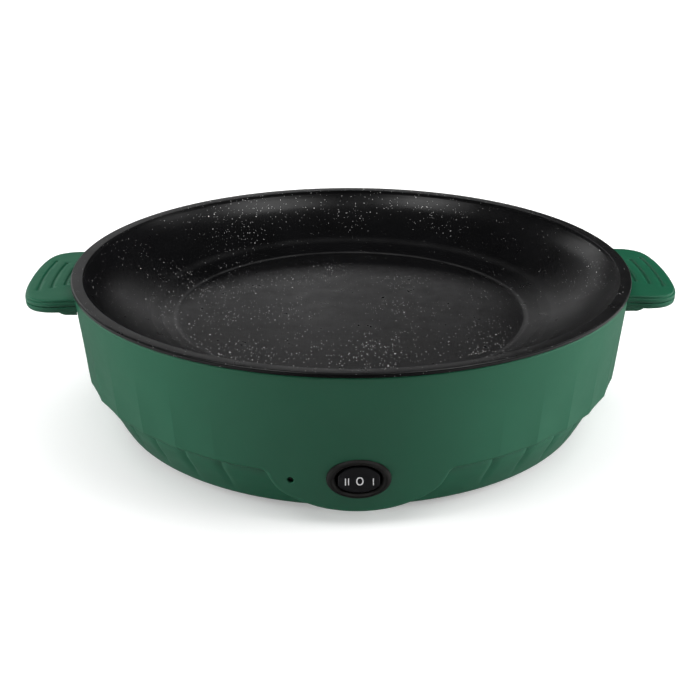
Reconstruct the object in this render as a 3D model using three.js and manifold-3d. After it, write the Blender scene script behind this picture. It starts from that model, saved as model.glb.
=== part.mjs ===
// Electric skillet: a shallow die-cast pan fixed in a fluted plastic housing,
// with two ear handles, a three-position rocker switch and a rear appliance inlet.
// Units are millimetres, +Z is up, the front (switch side) faces -Y.
// The origin is on the table plane, under the centre of the pan.
import * as THREE from 'three';
import { mergeVertices } from 'three/addons/utils/BufferGeometryUtils.js';
import Module from 'manifold-3d';

const wasm = await Module();
wasm.setup();

// ---------------------------------------------------------------- dimensions
const RIM_Z = 84.4;            // top face of the pan rim above the table
const RIM_R = 156.25;          // outer radius of the rim
const MOUTH_R = 151.0;         // inner edge of the flat rim face
const RIM_UNDER_Z = 82.3;      // underside of the rim, just clear of the housing
const GASKET_Z = 83.1;         // top of the groove that holds the gasket
const FLOOR_Z = 55.0;          // cooking surface
const FLOOR_R = 100.9;         // recessed floor
const PAN_UNDER_Z = 51.5;      // underside of the pan floor
const PAN_SEG = 40;

const BASE_Z = 3.4;            // lower edge of the housing
const BASE_R = 134.9;
const TIER_Z = 28.4;           // lower edge of the upper tier
const SHELL_TOP_Z = 82.0;
const SHELL_SEG = 80;          // two per flute
const FLUTES = 40;
const FLUTE_UPPER = 0.85;      // depth of the hollow between two ridges, upper tier
const FLUTE_LOWER = 1.3;       // depth of the valley between two lobes, lower tier

const APRON_HALF = 44.6;       // half width of the front apron at the tier edge
const APRON_BOTTOM_Z = 7.3;
const APRON_EDGE = [[0, 7.6], [6, 7.8], [16.8, 9.2], [26, 11.8], [33.2, 14.8], [39.4, 19.1], [42.9, 24.5], [44.6, 29.2]]; // right half, front view
const APRON_TOP_Z = 29.2;
const WALL_TILT = THREE.MathUtils.degToRad(6); // lean of the wall at the switch
const WALL_R = 150.55;         // wall radius at the switch centre
const SWITCH_Z = 27.7;

const BEZEL_X = 15.4;          // half axes of the oval bezel
const BEZEL_Y = 10.9;
const MOUTH_X = 10.9;          // half axes of the rocker opening
const MOUTH_Y = 7.95;
const ROCKER_PIVOT_W = -2.0;   // depth of the rocker axis behind the panel
const ROCKER_SWING_R = 10.4;   // end faces of the rocker follow this arc

const LAMP_ANGLE = THREE.MathUtils.degToRad(-12.4);
const LAMP_Z = 25.3;

const HANDLE_TOP_Z = 76.9;
const HANDLE_SEAM_Z = 73.1;
const HANDLE_BOTTOM_Z = 69.7;
const HANDLE_ROOT_Z = 66.6;
const HANDLE_REACH = 181.8;    // half of the overall width

const HEATER_R = 70;           // centreline of the heating element
const HEATER_TUBE_R = 3.7;
const HEATER_Z = 46.3;
const HEATER_LEG_DEG = 12;     // each leg stands this far from the rear centreline

const BOSS_R = 92;             // circle of the four pan bosses
const BOSS_ANGLES = [45, 135, 225, 315];
const BOSS_BOTTOM_Z = 39.0;
const SHIELD_Z = 37.9;
const SHIELD_T = 0.8;
const PILLAR_TOP_Z = 37.6;
const COVER_Z = 4.4;           // underside of the base cover
const COVER_T = 2.4;
const FOOT_R = 8;
const FOOT_CIRCLE = 112;

// ------------------------------------------------------------------- helpers
const rad = THREE.MathUtils.degToRad;

// Position-only geometry with shared vertices, no collapsed faces, faces outwards.
function clean(geometry) {
  const g = geometry.clone();
  for (const key of Object.keys(g.attributes)) if (key !== 'position') g.deleteAttribute(key);
  const m = mergeVertices(g, 1e-4);
  const p = m.attributes.position;
  const src = m.index.array;
  const tri = [];
  for (let i = 0; i < src.length; i += 3) {
    const a = src[i], b = src[i + 1], c = src[i + 2];
    if (a !== b && b !== c && a !== c) tri.push(a, b, c);
  }
  let v6 = 0;
  for (let i = 0; i < tri.length; i += 3) {
    const [a, b, c] = [tri[i], tri[i + 1], tri[i + 2]];
    v6 += p.getX(a) * (p.getY(b) * p.getZ(c) - p.getZ(b) * p.getY(c))
        - p.getY(a) * (p.getX(b) * p.getZ(c) - p.getZ(b) * p.getX(c))
        + p.getZ(a) * (p.getX(b) * p.getY(c) - p.getY(b) * p.getX(c));
  }
  if (v6 < 0) for (let i = 0; i < tri.length; i += 3) [tri[i + 1], tri[i + 2]] = [tri[i + 2], tri[i + 1]];
  return { positions: new Float32Array(p.array), triangles: new Uint32Array(tri) };
}

function solid(geometry) {
  const { positions, triangles } = clean(geometry);
  return new wasm.Manifold(new wasm.Mesh({ numProp: 3, vertProperties: positions, triVerts: triangles }));
}

function geometryOf(manifold) {
  const m = manifold.getMesh();
  const positions = new Float32Array(m.numVert * 3);
  for (let i = 0; i < m.numVert; i++)
    for (let k = 0; k < 3; k++) positions[3 * i + k] = m.vertProperties[i * m.numProp + k];
  const g = new THREE.BufferGeometry();
  g.setAttribute('position', new THREE.BufferAttribute(positions, 3));
  g.setIndex(new THREE.BufferAttribute(new Uint32Array(m.triVerts), 1));
  g.computeVertexNormals();
  return g;
}

const cut = (body, ...tools) => tools.reduce((s, t) => s.subtract(t), body);
const join = (body, ...more) => more.reduce((s, t) => s.add(t), body);

// Revolved solid about +Z from a closed list of [radius, height]; angle 0 is the front.
function turned(profile, segments) {
  const pts = profile.map(([r, z]) => new THREE.Vector2(r, z));
  const first = pts[0], last = pts[pts.length - 1];
  if (!(first.x === 0 && last.x === 0) && !first.equals(last)) pts.push(first.clone());
  return new THREE.LatheGeometry(pts, segments).rotateX(Math.PI / 2);
}

function cylinder(r, z0, z1, segments = 16, x = 0, y = 0, rTop = r) {
  return new THREE.CylinderGeometry(rTop, r, z1 - z0, segments).rotateX(Math.PI / 2).translate(x, y, (z0 + z1) / 2);
}

// Cylinder between two points.
function rod(a, b, r, segments = 10) {
  const from = new THREE.Vector3(...a), to = new THREE.Vector3(...b);
  const d = to.clone().sub(from);
  const g = new THREE.CylinderGeometry(r, r, d.length(), segments);
  g.applyQuaternion(new THREE.Quaternion().setFromUnitVectors(new THREE.Vector3(0, 1, 0), d.clone().normalize()));
  const c = from.add(to).multiplyScalar(0.5);
  return g.translate(c.x, c.y, c.z);
}

function box(x0, x1, y0, y1, z0, z1) {
  return new THREE.BoxGeometry(x1 - x0, y1 - y0, z1 - z0).translate((x0 + x1) / 2, (y0 + y1) / 2, (z0 + z1) / 2);
}

// Flat outline of [x, y] pairs raised from z0 to z1.
function raised(outline, z0, z1) {
  const shape = new THREE.Shape(outline.map(([x, y]) => new THREE.Vector2(x, y)));
  return new THREE.ExtrudeGeometry(shape, { depth: z1 - z0, bevelEnabled: false }).translate(0, 0, z0);
}

function oval(a, b, n = 36, power = 2) {
  const out = [];
  for (let i = 0; i < n; i++) {
    const t = (2 * Math.PI * i) / n, c = Math.cos(t), s = Math.sin(t);
    out.push([a * Math.sign(c) * Math.abs(c) ** (2 / power), b * Math.sign(s) * Math.abs(s) ** (2 / power)]);
  }
  return out;
}

function roundedRect(hx, hy, r, n = 3) {
  const out = [];
  for (const [sx, sy, a0] of [[1, 1, 0], [-1, 1, 90], [-1, -1, 180], [1, -1, 270]])
    for (let i = 0; i <= n; i++) {
      const a = rad(a0 + (90 * i) / n);
      out.push([sx * (hx - r) + r * Math.cos(a), sy * (hy - r) + r * Math.sin(a)]);
    }
  return out;
}

// Round wire or tube along points, closed at both ends.
function tube(points, r, steps, sides = 6, tension = 0.5) {
  const curve = new THREE.CatmullRomCurve3(points.map((p) => new THREE.Vector3(...p)), false, 'centripetal', tension);
  const ring = oval(r, r, sides).map(([x, y]) => new THREE.Vector2(x, y));
  return new THREE.ExtrudeGeometry(new THREE.Shape(ring), { steps, bevelEnabled: false, extrudePath: curve });
}

const polar = (r, deg) => [r * Math.sin(rad(deg)), -r * Math.cos(rad(deg))]; // 0 is the front
const smooth = (a, b, x) => {
  const t = Math.min(1, Math.max(0, (x - a) / (b - a)));
  return t * t * (3 - 2 * t);
};

// ----------------------------------------------------------------- materials
const plastic = (color, roughness = 0.5) => new THREE.MeshStandardMaterial({ color, roughness, metalness: 0 });
const metal = (color, roughness = 0.35) => new THREE.MeshStandardMaterial({ color, roughness, metalness: 1 });
const GREEN = () => plastic(0x34694f, 0.45);
const BLACK = () => plastic(0x1b1b1d, 0.5);
const STEEL = () => metal(0xb9bbbd, 0.35);

const skillet = new THREE.Group();
function piece(name, shape, material, parent = skillet) {
  const geometry = shape.isBufferGeometry ? geometryOf(solid(shape)) : geometryOf(shape);
  const mesh = new THREE.Mesh(geometry, material);
  mesh.name = name;
  parent.add(mesh);
  return mesh;
}

// ----------------------------------------------------------------------- pan
const panProfile = [
  [0, FLOOR_Z], [FLOOR_R, FLOOR_Z], [101.8, 56.1], [115.5, 59.7], [124.5, 63.2], [134, 68.0],
  [142.4, 74.0], [147.6, 79.8], [149.2, 82.7], [MOUTH_R + 0.2, RIM_Z], [155.3, RIM_Z], [RIM_R, 83.6],
  [RIM_R, RIM_UNDER_Z], [154.6, RIM_UNDER_Z], [154.6, GASKET_Z], [152.2, GASKET_Z], [149.6, 76.8], [143.6, 69.9],
  [134.6, 64.3], [122, 58.5], [108.4, 54.3], [98, PAN_UNDER_Z],
  [HEATER_R + 7, PAN_UNDER_Z], [HEATER_R + 7, 46.3], [HEATER_R + 4.2, 46.3], [HEATER_R + 3.6, 50.5],
  [HEATER_R - 3.6, 50.5], [HEATER_R - 4.2, 46.3], [HEATER_R - 7, 46.3], [HEATER_R - 7, PAN_UNDER_Z], [0, PAN_UNDER_Z],
];
let pan = solid(turned(panProfile, PAN_SEG));
for (const a of BOSS_ANGLES) {
  const [x, y] = polar(BOSS_R, a);
  pan = pan.add(solid(cylinder(5.6, BOSS_BOTTOM_Z, 53, 12, x, y)));
  pan = pan.subtract(solid(cylinder(2.0, BOSS_BOTTOM_Z - 1, 48.2, 10, x, y)));
}
for (const [x, y] of [[-16, 0], [16, 0], [0, -53], [32, 30]]) {
  pan = pan.add(solid(cylinder(3.8, 46.9, 53, 12, x, y)));
  pan = pan.subtract(solid(cylinder(1.75, 46, 52.6, 8, x, y)));
}
piece('pan', pan, plastic(0x2b2b2d, 0.45));

piece('rim_gasket', turned([[154.2, GASKET_Z - 0.1], [152.6, GASKET_Z - 0.1], [152.6, SHELL_TOP_Z + 0.1], [154.2, SHELL_TOP_Z + 0.1]], PAN_SEG),
  plastic(0x161616, 0.7));

// --------------------------------------------------------------------- shell
const wallProfile = [ // outer wall of the upper tier, continued down for the aprons
  [155.4, SHELL_TOP_Z], [154.2, 68], [153.0, 54], [151.7, 38.5], [150.7, APRON_TOP_Z],
];
const apronProfile = [[150.7, APRON_TOP_Z], [149.3, 17], [148.4, 10.2], [146.6, APRON_BOTTOM_Z]];
const lowerProfile = [
  [150.1, TIER_Z], [143.2, TIER_Z - 0.8], [141.6, 20.6], [138.9, 12.4], [BASE_R, BASE_Z],
];

// Inward depth of the flutes at an angle and height.
function fluteDepth(phi, z) {
  const deg = Math.abs(THREE.MathUtils.radToDeg(Math.atan2(Math.sin(phi), Math.cos(phi))));
  const fade = smooth(18, 44, Math.min(deg, 180 - deg));
  const ridge = Math.cos((phi * FLUTES) / 2) ** 2; // 1 on a crease, 0 half way between two
  if (z > TIER_Z - 0.1) return FLUTE_UPPER * fade * (1 - ridge) * smooth(76, 40, z);
  return FLUTE_LOWER * fade * ridge * smooth(BASE_Z + 1, 13, z);
}
function fluted(geometry) {
  const p = geometry.attributes.position;
  for (let i = 0; i < p.count; i++) {
    const x = p.getX(i), y = p.getY(i), z = p.getZ(i), r = Math.hypot(x, y);
    if (r < 100) continue;
    const k = (r - fluteDepth(Math.atan2(x, -y), z)) / r;
    p.setXYZ(i, x * k, y * k, z);
  }
  return geometry;
}
const outerWall = solid(fluted(turned([[0, SHELL_TOP_Z], ...wallProfile, ...lowerProfile, [0, BASE_Z]], SHELL_SEG)));
const apronWall = solid(turned([[0, 38.5], [151.7, 38.5], ...apronProfile, [0, APRON_BOTTOM_Z]], SHELL_SEG));
const apronInner = solid(turned([[0, 36], [149.0, 36], [148.2, APRON_TOP_Z], [146.6, 15], [145.4, 10.6], [0, 10.6]], SHELL_SEG / 2));

// Prism that limits an apron, for the front (-1) or the rear (+1); the edge is scaled to its half width and bottom.
function apronPrism(half, bottom, top, side, inset = 0) {
  const kx = half / APRON_HALF, kz = (APRON_TOP_Z - bottom) / (APRON_TOP_Z - APRON_EDGE[0][1]);
  const right = APRON_EDGE.map(([x, z]) => [x * kx, bottom + (z - APRON_EDGE[0][1]) * kz]);
  const outline = [...right, [half, top], [-half, top], ...right.slice(1).reverse().map(([x, z]) => [-x, z])];
  const g = raised(outline, 100 - inset, 165).rotateX(Math.PI / 2); // outline y becomes z, depth becomes -y
  return solid(side < 0 ? g : g.rotateZ(Math.PI));
}
let shell = outerWall;
for (const side of [-1, 1]) shell = shell.add(apronWall.intersect(apronPrism(APRON_HALF, APRON_EDGE[0][1], 37.5, side)));
const cavity = solid(turned([
  [0, 90], [153.0, 90], [153.0, 78], [151.0, 57], [148.2, 30.7],
  [140.6, 30.7], [138.9, 19], [134.9, 9.0], [128.8, 9.0], [128.8, 6.7], [131.9, 6.7],
  [131.9, 2.5], [0, 2.5],
], SHELL_SEG / 2));
shell = shell.subtract(cavity);
for (const side of [-1, 1]) shell = shell.subtract(apronInner.intersect(apronPrism(APRON_HALF - 2.2, 10.4, 35, side)));

// Frame of a fitting on the leaning wall: x right, y up the wall, z outwards.
function wallFrame(side, z, phi = 0, radius = WALL_R) {
  const turn = new THREE.Group();
  turn.rotation.z = (side < 0 ? 0 : Math.PI) + phi;
  const lean = new THREE.Group();
  lean.position.set(0, -radius, z);
  lean.rotation.x = Math.PI / 2 + WALL_TILT;
  turn.add(lean);
  turn.updateMatrixWorld(true);
  return { turn, lean, matrix: lean.matrixWorld.clone() };
}
const at = (geometry, frame) => solid(geometry.applyMatrix4(frame.matrix));

const switchFrame = wallFrame(-1, SWITCH_Z);
const inletFrame = wallFrame(1, SWITCH_Z);
const lampFrame = wallFrame(-1, LAMP_Z, LAMP_ANGLE, 150.3);
shell = cut(shell,
  at(raised(oval(BEZEL_X + 0.5, BEZEL_Y + 0.5, 24), -0.9, 6), switchFrame),
  at(raised(oval(13.8, 9.7, 32), -12, 2), switchFrame),
  at(cylinder(1.65, -6, 6, 14), lampFrame),
  at(raised(roundedRect(20.4, 12.4, 3), -0.9, 6), inletFrame),
  at(raised(roundedRect(14.4, 10.9, 2), -12, 2), inletFrame),
  at(cylinder(1.9, -8, 4, 8, -17.4, 0), inletFrame),
  at(cylinder(1.9, -8, 4, 8, 17.4, 0), inletFrame));
for (const sx of [-1, 1]) for (const y of [-24, 24])
  shell = shell.subtract(solid(rod([sx * 140, y, 69.8], [sx * 165, y, 69.8], 1.9, 8)));
piece('shell', shell, GREEN());

// ------------------------------------------------------------------- handles
// Plan outline of one half, from the root to the tip; the other half mirrors it.
const HANDLE_HALF = [[150, 41.2], [156, 42.2], [162, 42.8], [167.5, 42.0], [172.5, 39.6], [176.2, 35.6], [178.6, 30],
  [180.3, 22], [181.4, 12], [HANDLE_REACH, 0]];
function handleOutline(inset, rootR) {
  const out = [];
  const half = HANDLE_HALF.slice(1).map(([x, y]) => [x - inset * smooth(160, 175, x), y - inset * smooth(175.5, 168, x) * 0.9 - (y > 1 ? inset * 0.1 : 0)]);
  const rootAngle = Math.asin((41.6 - inset) / rootR);
  out.push([rootR * Math.cos(rootAngle), 41.6 - inset]);
  for (const p of half) out.push([p[0], Math.max(0, p[1])]);
  for (const p of half.slice(0, -1).reverse()) out.push([p[0], -p[1]]);
  for (let i = 0; i <= 6; i++) {
    const a = -rootAngle + (2 * rootAngle * i) / 6;
    if (i < 6) out.push([rootR * Math.cos(a), rootR * Math.sin(a)]);
  }
  return out;
}
// Curved groove across the handle, bowed outwards.
function groove(xMid, xEnd, half, width) {
  const outer = [], inner = [], n = 4;
  for (let i = 0; i <= n; i++) {
    const y = -half + (2 * half * i) / n;
    const x = xMid - (xMid - xEnd) * (y / half) ** 2;
    outer.push([x + width / 2, y]);
    inner.unshift([x - width / 2, y]);
  }
  return solid(raised([...outer, ...inner], HANDLE_TOP_Z - 0.9, HANDLE_TOP_Z + 1));
}
let handleTop = solid(raised(handleOutline(0.6, 155.6), HANDLE_TOP_Z - 0.9, HANDLE_TOP_Z));
handleTop = join(solid(raised(handleOutline(0, 155.6), HANDLE_SEAM_Z + 0.15, HANDLE_TOP_Z - 0.8)), handleTop);
handleTop = cut(handleTop, groove(174.2, 172.8, 24.5, 1.5), groove(167.2, 166.0, 20.6, 1.5), groove(160.2, 159.4, 16, 1.5));
let handleBottom = join(
  solid(raised(handleOutline(0.25, 155.3), HANDLE_BOTTOM_Z + 0.8, HANDLE_SEAM_Z - 0.15)),
  solid(raised(handleOutline(1.3, 155.3), HANDLE_BOTTOM_Z, HANDLE_BOTTOM_Z + 0.9)));
const gusset = solid(new THREE.ExtrudeGeometry(new THREE.Shape([
  [148, HANDLE_ROOT_Z], [156.2, HANDLE_ROOT_Z], [158.6, HANDLE_ROOT_Z + 1], [161.0, HANDLE_BOTTOM_Z - 0.7], [164.0, HANDLE_BOTTOM_Z + 0.1], [164.0, HANDLE_BOTTOM_Z + 2], [148, HANDLE_BOTTOM_Z + 2],
].map((p) => new THREE.Vector2(...p))), { depth: 78, bevelEnabled: false }).rotateX(Math.PI / 2).translate(0, 39, 0));
handleBottom = handleBottom.add(gusset).subtract(solid(cylinder(155.4, 60, 80, 120)));
for (const y of [-24, 24]) handleBottom = handleBottom.subtract(solid(rod([150, y, 69.8], [159.2, y, 69.8], 1.75, 8)));

for (const [side, turn] of [['right', 0], ['left', Math.PI]]) {
  const arm = new THREE.Group();
  arm.rotation.z = turn;
  skillet.add(arm);
  piece(`handle_${side}_top`, handleTop, GREEN(), arm);
  piece(`handle_${side}_bottom`, handleBottom, GREEN(), arm);
  for (const [end, y] of [['a', -24], ['b', 24]])
    piece(`handle_screw_${side}_${end}`, join(
      solid(rod([145.6, y, 69.8], [147.8, y, 69.8], 3.1, 12)),
      solid(rod([147.6, y, 69.8], [158.6, y, 69.8], 1.4, 8))), STEEL(), arm);
}

// -------------------------------------------------------- base cover and feet
let cover = solid(turned([
  [0, COVER_Z + COVER_T], [119.6, COVER_Z + COVER_T], [120.2, 10.2], [122.2, 10.2], [122.8, COVER_Z + COVER_T],
  [127.6, COVER_Z + COVER_T], [127.9, 6.4], [131.0, 6.4], [131.0, COVER_Z], [0, COVER_Z],
], PAN_SEG));
for (const a of BOSS_ANGLES) {
  const [x, y] = polar(BOSS_R, a);
  cover = cover.add(solid(cylinder(8.4, 5.5, PILLAR_TOP_Z, 12, x, y, 6.2)));
  cover = cover.subtract(solid(cylinder(5.3, 3, 24.2, 12, x, y, 5.0)));
  cover = cover.subtract(solid(cylinder(2.0, 20, 40, 8, x, y)));
  const [fx, fy] = polar(FOOT_CIRCLE, a);
  cover = cover.subtract(solid(cylinder(FOOT_R + 0.4, 3, COVER_Z + 1.2, 16, fx, fy)));
}
for (let i = 0; i < 12; i++) cover = cover.subtract(solid(box(-1.5, 1.5, 42, 62, 3, 9).rotateZ(rad(i * 30))));
piece('base_cover', cover, BLACK());

const footNames = { 45: 'front_right', 135: 'rear_right', 225: 'rear_left', 315: 'front_left' };
for (const a of BOSS_ANGLES) {
  const [x, y] = polar(FOOT_CIRCLE, a);
  piece(`foot_${footNames[a]}`, turned([[0, 5.3], [FOOT_R, 5.3], [FOOT_R, 0.9], [FOOT_R - 0.9, 0], [0, 0]], 16).translate(x, y, 0),
    plastic(0x151515, 0.9));
  const [bx, by] = polar(BOSS_R, a);
  piece(`base_screw_${footNames[a]}`, turned([
    [0, 46.6], [1.6, 46.6], [1.6, 23.8], [4.0, 23.8], [4.0, 22.6], [3.0, 21.4], [0, 21.4]], 10).translate(bx, by, 0), STEEL());
}

// --------------------------------------------------------------- heat shield
let shield = solid(turned([
  [128.4, 42.6], [127.6, 42.6], [126.6, SHIELD_Z + SHIELD_T], [34, SHIELD_Z + SHIELD_T], [34, SHIELD_Z], [127.2, SHIELD_Z],
], PAN_SEG));
for (const a of BOSS_ANGLES) shield = shield.subtract(solid(cylinder(2.2, 36, 40, 10, ...polar(BOSS_R, a))));
for (const s of [-1, 1]) shield = shield.subtract(solid(cylinder(8, 36, 40, 14, ...polar(HEATER_R, 180 - s * HEATER_LEG_DEG))));
piece('heat_shield', shield, metal(0xc9cbcc, 0.4));

// ------------------------------------------------------------ heating element
// Open ring under the pan floor; both ends turn down beside the rear centreline.
const heaterPath = [];
{
  const bend = 8, bendDeg = THREE.MathUtils.radToDeg(bend / HEATER_R), arcEnd = 180 - HEATER_LEG_DEG - bendDeg;
  const leg = (s) => {
    const pts = [];
    const [x, y] = polar(HEATER_R, s * (180 - HEATER_LEG_DEG));
    for (const z of [33.2, 35.7]) pts.push([x, y, z]);
    for (let i = 0; i <= 3; i++) {
      const t = rad(i * 30);
      const a = arcEnd + bendDeg * Math.cos(t);
      pts.push([...polar(HEATER_R, s * a), HEATER_Z - bend + bend * Math.sin(t)]);
    }
    return pts;
  };
  heaterPath.push(...leg(-1));
  for (let a = -arcEnd + 6; a < arcEnd - 1; a += 6) heaterPath.push([...polar(HEATER_R, a), HEATER_Z]);
  heaterPath.push(...leg(1).reverse());
}
piece('heater_tube', tube(heaterPath, HEATER_TUBE_R, 68, 6), metal(0x8f9294, 0.45));
for (const [side, s] of [['right', 1], ['left', -1]]) {
  const [x, y] = polar(HEATER_R, s * (180 - HEATER_LEG_DEG));
  piece(`heater_pin_${side}`, join(solid(cylinder(1.1, 24.5, 32.9, 8, x, y)), solid(box(x - 3.15, x + 3.15, y - 0.4, y + 0.4, 16.5, 25.2))), STEEL());
  piece(`heater_insulator_${side}`, turned([[1.5, 32.7], [3.4, 32.7], [4.4, 31.5], [4.4, 28.5], [3.4, 27.3], [1.5, 27.3]], 12).translate(x, y, 0),
    plastic(0xe8e4da, 0.6));
}

// ----------------------------------------------------------------- thermostat
piece('thermostat', join(
  solid(turned([[0, 51.2], [7.4, 51.2], [8.2, 50.6], [8.2, 47.5], [9.6, 47.5], [9.6, 46.7], [6.6, 46.7], [6.6, 39.4], [0, 39.4]], 20)),
  solid(box(-4.4, -3.6, -3.15, 3.15, 31, 40)), solid(box(3.6, 4.4, -3.15, 3.15, 31, 40))), plastic(0x5a3a26, 0.5));
piece('thermostat_bracket', cut(
  solid(raised(roundedRect(21, 5.4, 3), 45.2, 46.4).rotateZ(0)),
  solid(cylinder(7.0, 44, 48, 18)), solid(cylinder(1.9, 44, 48, 8, -16, 0)), solid(cylinder(1.9, 44, 48, 8, 16, 0))).add(
  cut(solid(cylinder(9.0, 45.2, 46.4, 20)), solid(cylinder(7.0, 44, 48, 18)))), STEEL());
for (const [side, x] of [['left', -16], ['right', 16]])
  piece(`thermostat_screw_${side}`, turned([[0, 51.8], [1.35, 51.8], [1.35, 44.9], [2.9, 44.9], [2.9, 43.2], [0, 43.2]], 8).translate(x, 0, 0), STEEL());

// ---------------------------------------------------------------- thermal fuse
piece('thermal_fuse', solid(rod([-7, -42, 47.6], [7, -42, 47.6], 1.9, 10)).add(solid(rod([-12.4, -42, 47.6], [12.4, -42, 47.6], 0.6, 6))), metal(0xcfc9b8, 0.4));
piece('fuse_sleeve', cut(solid(rod([-11, -42, 47.6], [11, -42, 47.6], 3.1, 12)), solid(rod([-12, -42, 47.6], [12, -42, 47.6], 2.3, 12))), plastic(0xd9d4c6, 0.8));
piece('fuse_clamp', solid(new THREE.ExtrudeGeometry(new THREE.Shape([
  [-57.5, 46.6], [-57.5, 45.7], [-47.2, 45.7], [-45.2, 43.1], [-38.8, 43.1], [-37.6, 45.0], [-37.6, 48.5], [-38.4, 48.5],
  [-38.4, 45.2], [-39.3, 43.95], [-44.7, 43.95], [-46.7, 46.6],
].map((p) => new THREE.Vector2(...p))), { depth: 7, bevelEnabled: false }).rotateX(Math.PI / 2).rotateZ(Math.PI / 2).translate(-3.5, 0, 0)).subtract(
  solid(cylinder(1.9, 44, 48, 8, 0, -53))), STEEL());
piece('fuse_screw', turned([[0, 51.8], [1.35, 51.8], [1.35, 45.4], [2.9, 45.4], [2.9, 43.7], [0, 43.7]], 8).translate(0, -53, 0), STEEL());
piece('earth_screw', turned([[0, 51.8], [1.35, 51.8], [1.35, 45.2], [3.6, 45.2], [3.6, 43.4], [0, 43.4]], 8).translate(32, 30, 0), metal(0xc8a64a, 0.35));

// -------------------------------------------------------------- rocker switch
// Oval revolved profile: the ratio of the two half axes changes from mouth to edge.
function ovalTurned(profile, segments) {
  const g = turned(profile, segments);
  const p = g.attributes.position;
  const inner = MOUTH_X / MOUTH_Y, outer = BEZEL_X / BEZEL_Y;
  for (let i = 0; i < p.count; i++) {
    const r = Math.hypot(p.getX(i), p.getY(i));
    p.setX(i, p.getX(i) * THREE.MathUtils.lerp(inner, outer, smooth(MOUTH_Y, BEZEL_Y, r)));
  }
  return g;
}
const switchGroup = switchFrame.turn;
skillet.add(switchGroup);
const onPanel = switchFrame.lean;
let body = solid(ovalTurned([[MOUTH_Y, -3], [MOUTH_Y, 1.6], [8.6, 1.95], [9.5, 1.6], [10.45, 0.7], [BEZEL_Y, -0.55], [8.5, -0.55], [8.5, -3]], 24));
body = body.add(cut(solid(raised(oval(13.3, 9.2, 28), -18.6, -0.56)), solid(raised(oval(MOUTH_X, MOUTH_Y, 24), -7.4, 2))));
body = cut(body,
  solid(box(-9.6, 9.6, -4.6, 4.6, -17.2, -7)),
  ...[-6.5, 0, 6.5].map((x) => solid(box(x - 0.75, x + 0.75, -2.8, 2.8, -19, -16))),
  solid(rod([0, -9, ROCKER_PIVOT_W], [0, 9, ROCKER_PIVOT_W], 1.3, 12)));
piece('switch_body', body, BLACK(), onPanel);

// Rocker: oval cap with ends that follow the swing arc, a hollowed face and a bored stem.
let rocker = solid(raised(oval(MOUTH_X - 0.5, MOUTH_Y - 0.55, 24), -5.4, 2.4));
rocker = rocker.intersect(solid(rod([0, -9, ROCKER_PIVOT_W], [0, 9, ROCKER_PIVOT_W], ROCKER_SWING_R, 40)));
rocker = rocker.subtract(solid(rod([0, -9, 45.9], [0, 9, 45.9], 45, 96)));
rocker = rocker.subtract(solid(box(-12, -3.4, -4.8, 4.8, -6, -2.6))).subtract(solid(box(3.4, 12, -4.8, 4.8, -6, -2.6)));
rocker = rocker.add(solid(cylinder(2.7, -9.2, -5.0, 14)));
rocker = rocker.subtract(solid(cylinder(1.75, -10, -3.8, 12))).subtract(solid(rod([0, -9, ROCKER_PIVOT_W], [0, 9, ROCKER_PIVOT_W], 1.3, 12)));
piece('switch_rocker', rocker, plastic(0x222227, 0.4), onPanel);
piece('rocker_pin', rod([0, -8.4, ROCKER_PIVOT_W], [0, 8.4, ROCKER_PIVOT_W], 1.0, 10), STEEL(), onPanel);
const coil = [];
for (let i = 0; i <= 32; i++) coil.push([1.15 * Math.cos(i * Math.PI / 4), 1.15 * Math.sin(i * Math.PI / 4), -8.0 + (i / 32) * 3.7]);
piece('switch_spring', tube(coil, 0.2, 32, 4), STEEL(), onPanel);
piece('switch_plunger', turned([[0, -8.5], [1.4, -8.5], [1.4, -11.6], [0.9, -12.6], [0, -12.9]], 10), metal(0xb08d4a, 0.4), onPanel);
piece('contact_bridge', solid(new THREE.ExtrudeGeometry(new THREE.Shape([
  [-7.6, -13.4], [-2.4, -13.6], [0, -13.2], [2.4, -13.6], [7.6, -13.4], [7.6, -14.0], [2.4, -14.3], [0, -13.9], [-2.4, -14.3], [-7.6, -14.0],
].map((p) => new THREE.Vector2(...p))), { depth: 3.6, bevelEnabled: false }).rotateX(Math.PI / 2).translate(0, 1.8, 0)), metal(0xb87a4a, 0.35), onPanel);
const blade = (x, top, w = 2.4) => join(solid(box(x - 0.4, x + 0.4, -w, w, -26, top)));
piece('terminal_common', blade(0, -14.5), metal(0xc9a96a, 0.35), onPanel);
// Pressing one end of the rocker closes the contact on the other side.
piece('terminal_low', join(blade(-6.5, -15.6), solid(cylinder(1.2, -15.7, -15.1, 8, -6.5, 0))), metal(0xc9a96a, 0.35), onPanel);
piece('terminal_high', join(blade(6.5, -15.6), solid(cylinder(1.2, -15.7, -15.1, 8, 6.5, 0))), metal(0xc9a96a, 0.35), onPanel);

// ----------------------------------------------------------------- pilot lamp
skillet.add(lampFrame.turn);
piece('lamp_led', turned([[0, -0.9], [0.8, -1.15], [1.35, -2.0], [1.35, -8.6], [1.9, -8.6], [1.9, -9.8], [0, -9.8]], 12), plastic(0x1c0d0d, 0.2), lampFrame.lean);
piece('lamp_holder', cut(solid(raised(roundedRect(4.2, 4.2, 1.2, 2), -8.2, -3.7)), solid(cylinder(1.65, -9, -2, 12))), BLACK(), lampFrame.lean);

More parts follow.
